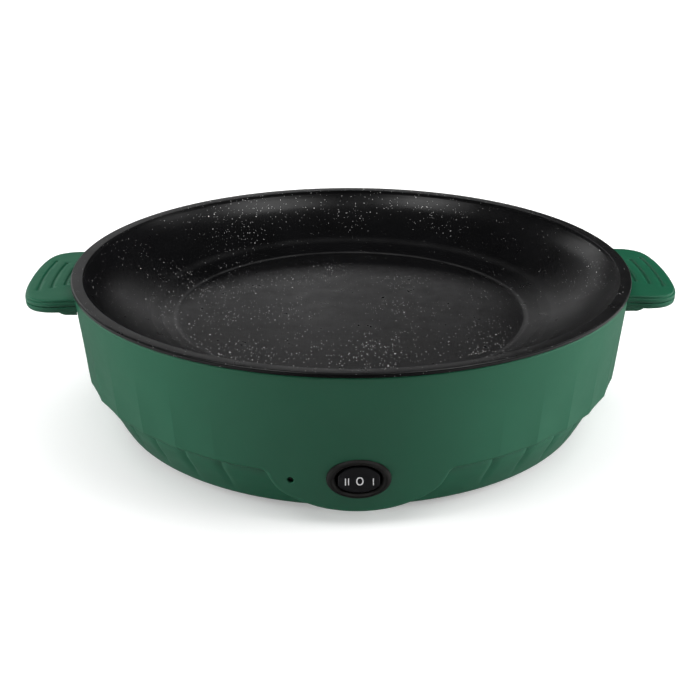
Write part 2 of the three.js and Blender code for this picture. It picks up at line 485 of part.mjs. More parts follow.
// ------------------------------------------------------------ appliance inlet
skillet.add(inletFrame.turn);
const onRear = inletFrame.lean;
let inlet = join(solid(raised(roundedRect(20, 12, 2.8), -0.55, 2.2)), solid(raised(roundedRect(14, 10.5, 2.2), -21, -0.5)));
inlet = inlet.subtract(solid(raised([[-12.1, 6.2], [-10.1, 8.2], [10.1, 8.2], [12.1, 6.2], [12.1, -8.2], [-12.1, -8.2]], -17, 3)));
for (const [x, y] of [[-7, -2.2], [7, -2.2], [0, 2.4]]) inlet = inlet.subtract(solid(box(x - 1.3, x + 1.3, y - 2.3, y + 2.3, -22, -16)));
for (const x of [-17.4, 17.4]) inlet = inlet.subtract(solid(cylinder(1.9, -2, 3, 8, x, 0)));
piece('inlet_body', inlet, BLACK(), onRear);
for (const [name, x, y] of [['live', -7, -2.2], ['neutral', 7, -2.2], ['earth', 0, 2.4]])
  piece(`inlet_pin_${name}`, box(x - 1, x + 1, y - 2, y + 2, -26, -4.6), STEEL(), onRear);
for (const [side, x] of [['left', 17.4], ['right', -17.4]])
  piece(`inlet_screw_${side}`, turned([[0, -7.4], [1.5, -7.4], [1.5, 2.5], [3.1, 2.5], [2.9, 3.6], [1.2, 4.2], [0, 4.2]], 8).translate(x, 0, 0), STEEL(), onRear);

// --------------------------------------------------------------------- wiring
piece('half_power_diode', solid(rod([-24, -19, 22], [-17.5, -11, 24], 3.2, 10)).add(solid(rod([-26, -21.5, 21.4], [-24, -19, 22], 0.6, 6)).add(
  solid(rod([-17.9, -11.5, 23.9], [-7, -3, 27.3], 0.6, 6)))), BLACK());
const WIRE = 1.25;
const wire = (name, points, color) => piece(name, tube(points, WIRE, 14, 6), plastic(color, 0.6));
wire('wire_live', [[13.9, -42, 46.6], [17, -32, 43], [17, -20, 38.3], [24, -12, 31], [40, 20, 24], [40, 70, 22], [22, 106, 25], [7, 122.6, 28.4]], 0xb23a2e);
wire('wire_fuse', [[-13.9, -42, 46.6], [-17, -32, 43], [-17, -20, 38.3], [-15, -24, 32], [-8, -50, 26], [-1, -85, 24], [0, -106, 27.5], [0, -122.6, 30.2]], 0xa9a39a);
wire('wire_high', [[6.5, -122.6, 30.2], [8, -108, 27], [12, -70, 21], [8, -30, 20], [2, -10, 21], [-3.6, -2, 24.5], [-4, 0, 29.2]], 0xc8c2b4);
wire('wire_low', [[-6.5, -122.6, 30.2], [-9, -108, 27], [-22, -70, 21], [-31, -42, 20], [-28, -25, 20.8]], 0xc8c2b4);
wire('wire_heater', [[4, 0, 29.2], [4, 2, 26], [-2, 14, 20], [-12, 40, 13.5], [-16, 60, 11.2], [-14.55, 68.4, 14.6]], 0xc8c2b4);
wire('wire_neutral', [[14.55, 68.47, 14.6], [14, 74, 11.4], [4, 92, 13], [-5, 108, 19], [-7, 122.6, 28.4]], 0x2f5fa8);
wire('wire_earth', [[32, 30, 42.0], [31.4, 29.4, 41.4], [30, 28, 41], [24, 22.5, 40.9], [18, 18, 39], [16, 17, 34], [18, 26, 27], [27, 60, 26], [22, 95, 27], [5, 114, 31], [0, 122.6, 33]], 0x6f9a3c);

export default skillet;
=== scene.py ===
"""Electric skillet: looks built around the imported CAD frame.

Lengths in the helper calls are millimetres; meshes are stored in metres in the
shared frame (+Z up, front towards -Y, origin on the table under the pan).
"""
import math

import bmesh
import bpy
import numpy as np
from mathutils import Matrix, Vector
from mathutils.geometry import delaunay_2d_cdt


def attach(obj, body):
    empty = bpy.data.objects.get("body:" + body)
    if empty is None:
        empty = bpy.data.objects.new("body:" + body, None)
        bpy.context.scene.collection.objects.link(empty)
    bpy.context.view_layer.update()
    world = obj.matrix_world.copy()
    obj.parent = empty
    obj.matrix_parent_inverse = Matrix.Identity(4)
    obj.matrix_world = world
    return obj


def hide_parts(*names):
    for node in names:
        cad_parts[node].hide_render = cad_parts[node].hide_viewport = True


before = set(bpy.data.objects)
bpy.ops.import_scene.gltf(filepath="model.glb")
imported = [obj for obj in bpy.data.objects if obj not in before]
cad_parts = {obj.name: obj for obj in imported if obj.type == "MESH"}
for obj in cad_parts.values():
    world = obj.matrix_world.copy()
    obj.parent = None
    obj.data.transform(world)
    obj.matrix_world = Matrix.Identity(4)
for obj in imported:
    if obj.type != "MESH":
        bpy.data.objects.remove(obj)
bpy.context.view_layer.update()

MM = 0.001
ROOT, ROCKER, BRIDGE = "cooker", "rocker", "bridge"


# --------------------------------------------------------------------- numbers
RIM_Z, RIM_R, FLOOR_Z = 84.4, 156.25, 55.0
SHELL_TOP_Z = 82.0
TIER_Z = 28.4
BASE_Z = 3.4
WALL_R, WALL_TILT = 150.55, math.radians(6)
SWITCH_Z = 27.7
BEZEL_X, BEZEL_Y, MOUTH_X, MOUTH_Y = 15.4, 10.9, 10.9, 7.95
PIVOT_W, SWING_R = -2.0, 10.4


def smooth(a, b, x):
    t = np.clip((np.asarray(x, float) - a) / (b - a), 0, 1)
    return t * t * (3 - 2 * t)


def spline(points, n, closed=False):
    """Centripetal-like Catmull-Rom through 2-D or 3-D points, n samples a span."""
    p = np.asarray(points, float)
    if closed:
        p = np.vstack([p[-1], p, p[0], p[1]])
    else:
        p = np.vstack([2 * p[0] - p[1], p, 2 * p[-1] - p[-2]])
    out = []
    for i in range(1, len(p) - 2):
        p0, p1, p2, p3 = p[i - 1], p[i], p[i + 1], p[i + 2]
        d0, d1, d2 = (max(np.linalg.norm(b - a), 1e-9) ** 0.5 for a, b in ((p0, p1), (p1, p2), (p2, p3)))
        t0, t1, t2, t3 = 0, d0, d0 + d1, d0 + d1 + d2
        for k in range(n):
            t = t1 + (t2 - t1) * k / n
            a1 = (t1 - t) / (t1 - t0) * p0 + (t - t0) / (t1 - t0) * p1
            a2 = (t2 - t) / (t2 - t1) * p1 + (t - t1) / (t2 - t1) * p2
            a3 = (t3 - t) / (t3 - t2) * p2 + (t - t2) / (t3 - t2) * p3
            b1 = (t2 - t) / (t2 - t0) * a1 + (t - t0) / (t2 - t0) * a2
            b2 = (t3 - t) / (t3 - t1) * a2 + (t - t1) / (t3 - t1) * a3
            out.append((t2 - t) / (t2 - t1) * b1 + (t - t1) / (t2 - t1) * b2)
    if not closed:
        out.append(p[-2])
    return np.array(out)


def rounded(points, closed=False, n=5):
    """Polyline of (x, y, radius) with every corner turned into an arc."""
    pts = [np.array(p[:2], float) for p in points]
    rad = [p[2] if len(p) > 2 else 0 for p in points]
    out = []
    m = len(pts)
    for i in range(m):
        if rad[i] <= 0 or (not closed and i in (0, m - 1)):
            out.append(pts[i])
            continue
        a, b, c = pts[i - 1], pts[i], pts[(i + 1) % m]
        u, v = a - b, c - b
        lu, lv = np.linalg.norm(u), np.linalg.norm(v)
        u, v = u / lu, v / lv
        ang = math.acos(float(np.clip(u @ v, -1, 1)))
        if ang > math.pi - 0.03:
            out.append(b)
            continue
        cut = min(rad[i] / math.tan(ang / 2), 0.49 * lu, 0.49 * lv)
        r = cut * math.tan(ang / 2)
        centre = b + (u + v) / np.linalg.norm(u + v) * r / math.sin(ang / 2)
        s, e = b + u * cut - centre, b + v * cut - centre
        turn = math.acos(float(np.clip((s @ e) / (r * r), -1, 1)))
        cross = s[0] * e[1] - s[1] * e[0]
        for k in range(n + 1):
            t = turn * k / n * (1 if cross > 0 else -1)
            ct, st = math.cos(t), math.sin(t)
            out.append(centre + np.array([s[0] * ct - s[1] * st, s[0] * st + s[1] * ct]))
    return np.array(out)


# ------------------------------------------------------------------- materials
def new_material(name):
    m = bpy.data.materials.new(name)
    m.use_nodes = True
    nt = m.node_tree
    return m, nt, nt.nodes["Principled BSDF"]


def node(nt, kind, **values):
    n = nt.nodes.new(kind)
    for k, v in values.items():
        if hasattr(n, k):
            setattr(n, k, v)
        else:
            n.inputs[k.replace("_", " ")].default_value = v
    return n


def noise(nt, scale, detail=3.0, rough=0.55, vector=None):
    n = node(nt, "ShaderNodeTexNoise")
    n.inputs["Scale"].default_value = scale
    n.inputs["Detail"].default_value = detail
    n.inputs["Roughness"].default_value = rough
    if vector is None:
        vector = node(nt, "ShaderNodeTexCoord").outputs["Object"]
    nt.links.new(vector, n.inputs["Vector"])
    return n


def ramp(nt, source, stops):
    r = node(nt, "ShaderNodeValToRGB")
    e = r.color_ramp.elements
    while len(e) < len(stops):
        e.new(0.5)
    for el, (pos, col) in zip(e, stops):
        el.position = pos
        el.color = (*col, 1) if len(col) == 3 else col
    nt.links.new(source, r.inputs["Fac"])
    return r.outputs["Color"]


def span(nt, source, lo, hi, from_lo=0.0, from_hi=1.0):
    r = node(nt, "ShaderNodeMapRange")
    nt.links.new(source, r.inputs["Value"])
    for k, v in (("From Min", from_lo), ("From Max", from_hi), ("To Min", lo), ("To Max", hi)):
        r.inputs[k].default_value = v
    return r.outputs["Result"]


def bump(nt, bsdf, source, strength, distance, chain=None):
    b = node(nt, "ShaderNodeBump")
    b.inputs["Strength"].default_value = strength
    b.inputs["Distance"].default_value = distance
    nt.links.new(source, b.inputs["Height"])
    if chain is not None:
        nt.links.new(chain, b.inputs["Normal"])
    nt.links.new(b.outputs["Normal"], bsdf.inputs["Normal"])
    return b.outputs["Normal"]


def plastic(name, colour, rough=(0.4, 0.48), vary=0.08, grain=2600, grain_strength=0.12, spec=0.5, mottle=14):
    """Moulded plastic: faint flow mottling, uneven gloss, fine spark-eroded grain."""
    m, nt, b = new_material(name)
    c = np.array(colour, float)
    big = noise(nt, mottle, 3)
    nt.links.new(ramp(nt, big.outputs["Fac"], [(0.3, c * (1 - vary)), (0.7, np.minimum(1, c * (1 + vary)))]), b.inputs["Base Color"])
    nt.links.new(span(nt, noise(nt, 60, 4).outputs["Fac"], *rough, 0.3, 0.7), b.inputs["Roughness"])
    wave = bump(nt, b, noise(nt, 22, 2).outputs["Fac"], 0.25, 0.0006)
    bump(nt, b, noise(nt, grain, 2).outputs["Fac"], grain_strength, 0.00006, wave)
    b.inputs["Specular IOR Level"].default_value = spec
    return m


def metal(name, colour, rough=(0.28, 0.4), metallic=1.0, streak=(1, 1, 1), scale=220, strength=0.1):
    """Worked metal: streaked gloss and fine scratches along one direction."""
    m, nt, b = new_material(name)
    c = np.array(colour, float)
    co = node(nt, "ShaderNodeTexCoord")
    mp = node(nt, "ShaderNodeMapping")
    mp.inputs["Scale"].default_value = streak
    nt.links.new(co.outputs["Object"], mp.inputs["Vector"])
    n = noise(nt, scale, 5, 0.6, mp.outputs["Vector"])
    nt.links.new(ramp(nt, n.outputs["Fac"], [(0.3, c * 0.86), (0.72, np.minimum(1, c * 1.08))]), b.inputs["Base Color"])
    nt.links.new(span(nt, n.outputs["Fac"], *rough, 0.3, 0.7), b.inputs["Roughness"])
    bump(nt, b, n.outputs["Fac"], strength, 0.00005)
    b.inputs["Metallic"].default_value = metallic
    return m


def math_node(nt, operation, a, b):
    n = node(nt, "ShaderNodeMath")
    n.operation = operation
    for i, v in enumerate((a, b)):
        if isinstance(v, (int, float)):
            n.inputs[i].default_value = v
        else:
            nt.links.new(v, n.inputs[i])
    return n.outputs[0]


def near_point(nt, co, centre, radius):
    """1 at a place on the object (mm), falling to 0 at the radius."""
    d = node(nt, "ShaderNodeVectorMath")
    d.operation = "DISTANCE"
    nt.links.new(co, d.inputs[0])
    d.inputs[1].default_value = [c * MM for c in centre]
    return span(nt, d.outputs["Value"], 1.0, 0.0, 0.0, radius * MM)


def coating():
    """Black non-stick coating on cast aluminium: satin, orange-peel, pale mineral flecks in random drifts, thickened
    into painted sparkle in the far-wall highlight, with painted highlight rings on the floor.
    """
    m, nt, b = new_material("nonstick_speckled")
    co = node(nt, "ShaderNodeTexCoord").outputs["Object"]
    base = noise(nt, 30, 4, 0.6, co)
    colour = ramp(nt, base.outputs["Fac"], [(0.3, (0.0024, 0.0024, 0.0026)), (0.7, (0.0036, 0.0036, 0.0040))])
    # the flat rim is thinly coated and greyer
    xyz = node(nt, "ShaderNodeSeparateXYZ")
    nt.links.new(co, xyz.inputs["Vector"])
    rim = span(nt, xyz.outputs["Z"], 0.0, 1.0, 0.0838, 0.0843)
    tint = node(nt, "ShaderNodeMix")
    tint.data_type = "RGBA"
    nt.links.new(rim, tint.inputs["Factor"])
    nt.links.new(colour, tint.inputs["A"])
    nt.links.new(ramp(nt, noise(nt, 160, 4, 0.6, co).outputs["Fac"], [(0.3, (0.0060, 0.0060, 0.0062)), (0.7, (0.010, 0.010, 0.0104))]), tint.inputs["B"])
    # painted highlight rings: the edge of the sunken floor and the foot of the wall are painted a little paler,
    # standing in for the light caught on those edges
    flat = node(nt, "ShaderNodeVectorMath")
    flat.operation = "MULTIPLY"
    nt.links.new(co, flat.inputs[0])
    flat.inputs[1].default_value = (1, 1, 0)
    length = node(nt, "ShaderNodeVectorMath")
    length.operation = "LENGTH"
    nt.links.new(flat.outputs["Vector"], length.inputs[0])
    painted_ring_highlight = None
    for centre, half, depth in ((0.1011, 0.0012, 0.022), (0.1155, 0.0035, 0.006)):
        near = math_node(nt, "ABSOLUTE", math_node(nt, "SUBTRACT", length.outputs["Value"], centre), 0.0)
        band = math_node(nt, "MULTIPLY", span(nt, near, 1.0, 0.0, 0.0, half), depth)
        painted_ring_highlight = band if painted_ring_highlight is None else math_node(nt, "ADD", painted_ring_highlight, band)
    painted_ring_highlight = math_node(nt, "MULTIPLY", painted_ring_highlight, span(nt, noise(nt, 45, 3, 0.6, co).outputs["Fac"], 0.35, 1.2, 0.3, 0.7))
    below = math_node(nt, "LESS_THAN", xyz.outputs["Z"], 0.064)
    # the painted highlight rings are added to the coating colour here
    ring_highlight_add = node(nt, "ShaderNodeMix")
    ring_highlight_add.data_type = "RGBA"
    ring_highlight_add.blend_type = "ADD"
    ring_highlight_add.inputs["Factor"].default_value = 1.0
    nt.links.new(tint.outputs["Result"], ring_highlight_add.inputs["A"])
    nt.links.new(math_node(nt, "MULTIPLY", painted_ring_highlight, below), ring_highlight_add.inputs["B"])
    # pale flecks of the coating in random drifts, painted thicker in the upper far-wall highlight as painted sparkle
    # and thinned on the shaded lower far wall as painted shade; a little thicker on the floor near the front and sides
    fleck_drift_and_sparkle = noise(nt, 24, 2, 0.5, co).outputs["Fac"]
    for centre, radius, weight in (((-66, 134, 80), 56, 0.85), ((8, 146, 81), 40, 0.4), ((62, 134, 80), 44, 0.5), ((-40, 112, 61), 48, -0.34), ((20, 116, 61), 48, -0.28), ((70, 96, 61), 50, -0.2), ((0, -128, 64), 110, 0.12), ((0, -60, 55), 110, 0.08), ((-100, 20, 58), 60, 0.10), ((100, 20, 58), 60, 0.05)):
        fleck_drift_and_sparkle = math_node(nt, "ADD", fleck_drift_and_sparkle, math_node(nt, "MULTIPLY", near_point(nt, co, centre, radius), weight))
    # the flat floor was sprayed square on, so its flecks are fuller
    spread = span(nt, xyz.outputs["Z"], 1.3, 1.0, 0.0555, 0.062)
    masks = []
    # cells per metre, largest fleck in cell units, share of empty cells where flecks are dense and where they are few
    for scale, size, dense, few in ((230, 0.105, 0.46, 0.96), (420, 0.125, 0.42, 0.94), (760, 0.175, 0.42, 0.92)):
        v = node(nt, "ShaderNodeTexVoronoi")
        v.feature = "F1"
        v.inputs["Scale"].default_value = scale
        v.inputs["Randomness"].default_value = 1.0
        nt.links.new(co, v.inputs["Vector"])
        sep = node(nt, "ShaderNodeSeparateColor")
        nt.links.new(v.outputs["Color"], sep.inputs["Color"])
        extra = math_node(nt, "SUBTRACT", sep.outputs["Red"], span(nt, fleck_drift_and_sparkle, few, dense, 0.34, 0.76))
        radius = math_node(nt, "MULTIPLY", span(nt, extra, size * 0.4, size, 0.0, 0.5), spread)
        radius = math_node(nt, "MULTIPLY", radius, math_node(nt, "GREATER_THAN", extra, 0.0))
        held = math_node(nt, "SUBTRACT", radius, v.outputs["Distance"])
        masks.append(span(nt, held, 0.0, 1.0, 0.0, 0.02))
    top = masks[0]
    for other in masks[1:]:
        top = math_node(nt, "MAXIMUM", top, other)
    tone = ramp(nt, noise(nt, 900, 2, 0.5, co).outputs["Fac"], [(0.35, (0.44, 0.44, 0.45)), (0.6, (0.92, 0.91, 0.90))])
    mix = node(nt, "ShaderNodeMix")
    mix.data_type = "RGBA"
    nt.links.new(top, mix.inputs["Factor"])
    nt.links.new(ring_highlight_add.outputs["Result"], mix.inputs["A"])
    nt.links.new(tone, mix.inputs["B"])
    nt.links.new(mix.outputs["Result"], b.inputs["Base Color"])
    nt.links.new(span(nt, noise(nt, 90, 4, 0.6, co).outputs["Fac"], 0.27, 0.33, 0.3, 0.7), b.inputs["Roughness"])
    peel = bump(nt, b, noise(nt, 520, 3, 0.5, co).outputs["Fac"], 0.12, 0.00012)
    bump(nt, b, noise(nt, 2200, 2, 0.5, co).outputs["Fac"], 0.1, 0.00005, peel)
    b.inputs["Specular IOR Level"].default_value = 0.5
    return m


GREEN = plastic("housing_green", (0.0090, 0.086, 0.0445), rough=(0.38, 0.45), vary=0.05, grain_strength=0.10)
BLACK = plastic("black_moulded", (0.0072, 0.0066, 0.0062), rough=(0.46, 0.56), vary=0.2, grain=3200, grain_strength=0.2, spec=0.45)
COVER = plastic("black_cover", (0.014, 0.014, 0.015), rough=(0.5, 0.62), vary=0.2, grain=1500, grain_strength=0.35, spec=0.35)
ROCKER_BLACK = plastic("rocker_satin", (0.0070, 0.0070, 0.0088), rough=(0.34, 0.42), vary=0.15, grain=3600, grain_strength=0.12)
LEGEND = plastic("legend_print", (0.62, 0.62, 0.63), rough=(0.5, 0.6), vary=0.05, grain=4000, grain_strength=0.1)
GASKET = plastic("gasket_silicone", (0.006, 0.006, 0.006), rough=(0.6, 0.7), vary=0.2, grain=1800, grain_strength=0.2, spec=0.3)
RUBBER = plastic("foot_rubber", (0.012, 0.012, 0.012), rough=(0.72, 0.85), vary=0.3, grain=900, grain_strength=0.5, spec=0.25)
LENS = plastic("lamp_lens", (0.006, 0.0015, 0.0015), rough=(0.12, 0.2), vary=0.1, grain=1500, grain_strength=0.02)
CERAMIC = plastic("ceramic", (0.66, 0.62, 0.54), rough=(0.55, 0.7), vary=0.06, grain=900, grain_strength=0.3)
PHENOLIC = plastic("phenolic", (0.085, 0.035, 0.018), rough=(0.3, 0.42), vary=0.25, grain=1300, grain_strength=0.2)
SLEEVE = plastic("glass_sleeve", (0.55, 0.52, 0.45), rough=(0.6, 0.75), vary=0.15, grain=700, grain_strength=0.6)
STEEL = metal("zinc_steel", (0.55, 0.56, 0.57), (0.25, 0.4))
SHEATH = metal("heater_sheath", (0.2, 0.195, 0.19), (0.42, 0.58), streak=(1, 1, 3))
SHIELD = metal("aluminised_sheet", (0.62, 0.63, 0.64), (0.36, 0.5), streak=(1, 14, 1))
BRASS = metal("brass", (0.62, 0.43, 0.17), (0.24, 0.38))
COPPER = metal("copper_alloy", (0.6, 0.3, 0.16), (0.28, 0.4))
WIRES = {
    "wire_live": plastic("silicone_red", (0.36, 0.03, 0.02), rough=(0.45, 0.6)),
    "wire_neutral": plastic("silicone_blue", (0.02, 0.09, 0.34), rough=(0.45, 0.6)),
    "wire_earth": plastic("silicone_green", (0.14, 0.34, 0.04), rough=(0.45, 0.6)),
}
WIRE_WHITE = plastic("silicone_white", (0.52, 0.49, 0.43), rough=(0.45, 0.6))
COATING = coating()


# --------------------------------------------------------------- mesh building
def make(name, verts, faces, material, body=ROOT, replaces=(), sharp=None, weld=0.002, flat=False):
    me = bpy.data.meshes.new(name)
    me.from_pydata((np.asarray(verts, float) * MM).tolist(), [], [list(map(int, f)) for f in faces])
    bm = bmesh.new()
    bm.from_mesh(me)
    if weld:
        bmesh.ops.remove_doubles(bm, verts=bm.verts, dist=weld * MM)
        bmesh.ops.dissolve_degenerate(bm, edges=bm.edges, dist=1e-8)
    bmesh.ops.recalc_face_normals(bm, faces=bm.faces)
    bm.to_mesh(me)
    bm.free()
    for p in me.polygons:
        p.use_smooth = not flat
    if sharp and not flat:
        me.set_sharp_from_angle(angle=math.radians(sharp))
    me.materials.append(material)
    ob = bpy.data.objects.new(name, me)
    bpy.context.scene.collection.objects.link(ob)
    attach(ob, body)
    if replaces:
        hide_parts(*replaces)
    return ob


class Parts:
    """Vertices and faces gathered from several shapes into one mesh."""

    def __init__(self):
        self.v, self.f, self.n = [], [], 0

    def add(self, verts, faces, matrix=None):
        verts = np.asarray(verts, float)
        if matrix is not None:
            m = np.array(matrix)
            verts = verts @ m[:3, :3].T + m[:3, 3]
        self.v.append(verts)
        self.f += [[int(i) + self.n for i in f] for f in faces]
        self.n += len(verts)
        return self

    def verts(self):
        return np.vstack(self.v)


def strip(rings, closed=True, cap_start=False, cap_end=False):
    """Quads between successive rings of equal length."""
    rings = [np.asarray(r, float) for r in rings]
    m = len(rings[0])
    verts = np.vstack(rings)
    faces = []
    last = m if closed else m - 1
    for i in range(len(rings) - 1):
        for j in range(last):
            k = (j + 1) % m
            faces.append([i * m + j, i * m + k, (i + 1) * m + k, (i + 1) * m + j])
    if cap_start:
        faces.append(list(range(m))[::-1])
    if cap_end:
        faces.append([(len(rings) - 1) * m + j for j in range(m)])
    return verts, faces


def lathe(profile, seg, closed=True, phase=0.0):
    """Revolved profile of [radius, z]; angle 0 faces -Y."""
    prof = np.asarray(profile, float)
    ang = 2 * np.pi * (np.arange(seg) + phase) / seg
    s, c = np.sin(ang), -np.cos(ang)
    rings, index, verts, n = [], [], [], 0
    for r, z in prof:
        if r < 1e-6:
            verts.append([[0, 0, z]])
            index.append([n] * seg)
            n += 1
        else:
            verts.append(np.stack([r * s, r * c, np.full(seg, z)], 1))
            index.append(list(range(n, n + seg)))
            n += seg
    faces = []
    rows = len(prof)
    pairs = [(i, i + 1) for i in range(rows - 1)] + ([(rows - 1, 0)] if closed else [])
    for a, b in pairs:
        for j in range(seg):
            k = (j + 1) % seg
            q = [index[a][j], index[a][k], index[b][k], index[b][j]]
            q = [x for i, x in enumerate(q) if x not in q[:i]]
            if len(q) > 2:
                faces.append(q)
    return np.vstack([np.asarray(v, float) for v in verts]), faces


def inside(poly, pts):
    """Which points lie in a closed polygon."""
    poly, pts = np.asarray(poly, float), np.asarray(pts, float)
    x, y = pts[:, 0][:, None], pts[:, 1][:, None]
    a, b = poly, np.roll(poly, -1, 0)
    cond = (a[:, 1] > y) != (b[:, 1] > y)
    with np.errstate(divide="ignore", invalid="ignore"):
        xi = (b[:, 0] - a[:, 0]) * (y - a[:, 1]) / (b[:, 1] - a[:, 1]) + a[:, 0]
    return (np.sum(cond & (x < xi), 1) % 2) == 1


def distance(poly, pts, closed=True):
    """Distance of points to a polyline."""
    poly, pts = np.asarray(poly, float), np.asarray(pts, float)
    a = poly if closed else poly[:-1]
    b = np.roll(poly, -1, 0) if closed else poly[1:]
    d = np.full(len(pts), 1e9)
    ab = b - a
    l2 = np.maximum((ab ** 2).sum(1), 1e-12)
    for s in range(0, len(pts), 4000):
        p = pts[s:s + 4000]
        t = np.clip(((p[:, None, :] - a[None]) * ab[None]).sum(2) / l2, 0, 1)
        q = a[None] + t[..., None] * ab[None] - p[:, None, :]
        d[s:s + 4000] = np.sqrt((q ** 2).sum(2).min(1))
    return d


def fill(outer, holes=(), loops=(), points=()):
    """Triangles over the area inside outer and outside holes, through every given loop and point."""
    verts, edges = [], []
    for loop in [outer, *holes, *loops]:
        n0 = len(verts)
        verts += [tuple(map(float, p)) for p in loop]
        edges += [(n0 + i, n0 + (i + 1) % len(loop)) for i in range(len(loop))]
    verts += [tuple(map(float, p)) for p in points]
    v, _e, f, *_ = delaunay_2d_cdt([Vector(p) for p in verts], edges, [], 0, 1e-6)
    v = np.array([tuple(p) for p in v])
    tri = [list(t) for t in f]
    cen = np.array([v[t].mean(0) for t in tri])
    keep = inside(outer, cen)
    for h in holes:
        keep &= ~inside(h, cen)
    return v, [t for t, k in zip(tri, keep) if k]


def offset(loop, d):
    """Closed anticlockwise loop moved outwards by d along its normals."""
    p = np.asarray(loop, float)
    t = np.roll(p, -1, 0) - np.roll(p, 1, 0)
    t /= np.maximum(np.linalg.norm(t, axis=1), 1e-9)[:, None]
    return p + d * np.stack([t[:, 1], -t[:, 0]], 1)


def at_z(loop, z):
    loop = np.asarray(loop, float)
    return np.column_stack([loop[:, :2], np.full(len(loop), z) if np.isscalar(z) else z])


def circle(r, n, x=0.0, y=0.0):
    a = 2 * np.pi * np.arange(n) / n
    return np.stack([x + r * np.cos(a), y + r * np.sin(a)], 1)


def oval(a, b, n, power=2.0):
    t = 2 * np.pi * np.arange(n) / n
    c, s = np.cos(t), np.sin(t)
    return np.stack([a * np.sign(c) * np.abs(c) ** (2 / power), b * np.sign(s) * np.abs(s) ** (2 / power)], 1)


def round_rect(hx, hy, r, n=6):
    out = []
    for sx, sy, a0 in ((1, 1, 0), (-1, 1, 90), (-1, -1, 180), (1, -1, 270)):
        for i in range(n + 1):
            a = math.radians(a0 + 90 * i / n)
            out.append([sx * (hx - r) + r * math.cos(a), sy * (hy - r) + r * math.sin(a)])
    return np.array(out)


def wall_frame(side, z, phi=0.0, radius=WALL_R):
    """x right, y up the wall, z outwards, for a fitting on the leaning wall (millimetres)."""
    turn = Matrix.Rotation((0 if side < 0 else math.pi) + phi, 4, "Z")
    return turn @ Matrix.Translation((0, -radius, z)) @ Matrix.Rotation(math.pi / 2 + WALL_TILT, 4, "X")


SWITCH = wall_frame(-1, SWITCH_Z)
INLET = wall_frame(1, SWITCH_Z)
LAMP = wall_frame(-1, 25.3, math.radians(-12.4), 150.3)


# ------------------------------------------------------------------------- pan
def build_pan():
    wall = spline([(115.5, 59.7), (124.5, 63.2), (134, 68.0), (142.4, 74.0), (147.4, 79.5), (149.3, 82.3)], 7)
    prof = [(0, FLOOR_Z)] + [(r, FLOOR_Z) for r in np.linspace(12, 96, 8)]
    step = rounded([(96.5, FLOOR_Z), (99.2, FLOOR_Z, 5.0), (102.0, 55.75, 3.0), (108.5, 57.3, 20), (114.4, 59.2, 6.0), (117.5, 60.42)], n=7)
    prof += [tuple(p) for p in step]
    prof += [tuple(p) for p in wall if p[0] > 118.2]
    rim = rounded([(149.3, 82.3), (149.75, RIM_Z - 0.26, 0.45), (156.25, RIM_Z + 0.05, 1.75),
                   (156.25, 82.3, 0.3), (154.6, 82.3, 0.2), (154.6, 83.1), (152.2, 83.1)], n=6)
    prof += [tuple(p) for p in rim[1:]]
    prof += [(149.6, 76.8), (143.6, 69.9), (134.6, 64.3), (122, 58.5), (108.4, 54.3), (98, 51.5), (77, 51.5), (77, 46.3),
             (74.2, 46.3), (73.6, 50.5), (66.4, 50.5), (65.8, 46.3), (63, 46.3), (63, 51.5), (0, 51.5)]
    prof = [(max(r, 0), z) for r, z in prof]
    v, f = lathe(prof, 288, closed=False)
    parts = Parts().add(v, f)
    for a in (45, 135, 225, 315):
        x, y = 92 * math.sin(math.radians(a)), -92 * math.cos(math.radians(a))
        bv, bf = lathe([(2.0, 48.2), (2.0, 39.4), (2.4, 39.0), (5.2, 39.0), (5.6, 39.4), (5.9, 52.5)], 24, closed=False)
        parts.add(bv + [x, y, 0], bf)
    for x, y in ((-16, 0), (16, 0), (0, -53), (32, 30)):
        bv, bf = lathe([(1.75, 51.9), (1.75, 47.2), (2.0, 46.9), (3.5, 46.9), (3.8, 47.2), (4.0, 52.0)], 20, closed=False)
        parts.add(bv + [x, y, 0], bf)
    return make("pan_cast", parts.verts(), parts.f, COATING, replaces=("pan",), sharp=50)


# ----------------------------------------------------------------------- shell
APRON = spline([(0, 7.6), (6, 7.8), (16.8, 9.2), (26, 11.8), (33.2, 14.8), (39.4, 19.1), (42.9, 24.5), (44.6, 29.5), (45.0, 36), (45.0, 60)], 10)
APRON = np.vstack([APRON[::-1] * [-1, 1], APRON[1:]])


def upper_r(z):
    return np.interp(z, [4, 8, 10.2, 17, 28.2, 38.5, 54, 68, SHELL_TOP_Z], [147.6, 148.1, 148.4, 149.3, 150.6, 151.7, 153.0, 154.2, 155.4])


LOWER_CURVE = spline([(3.4, 134.5), (8.0, 137.0), (12.4, 139.2), (18.0, 141.8), (22.0, 143.1), (24.6, 143.2), (26.6, 142.5), (28.4, 141.2), (31.0, 138.6)], 12)


def lower_r(z):
    return np.interp(z, LOWER_CURVE[:, 0], LOWER_CURVE[:, 1])


def flute(phi, z):
    """Fades of the upper and lower flutes, place across an upper flute (-1 and 1 on its ridges) and across a lower
    lobe (0 on the crease towards the apron, 1 on the one away from it). The lower creases lean towards the aprons."""
    deg = np.abs(np.degrees(np.arctan2(np.sin(phi), np.cos(phi))))
    deg = np.minimum(deg, 180 - deg)
    u = np.degrees(phi) / 9.0
    lean = 1.7 * np.sin(np.radians(2 * deg)) * (smooth(9, 27, z) - 0.3)
    w = (deg - lean) / 9.0
    return smooth(18, 44, deg), smooth(20, 30, deg), 2 * (u - np.floor(u)) - 1, w - np.floor(w)


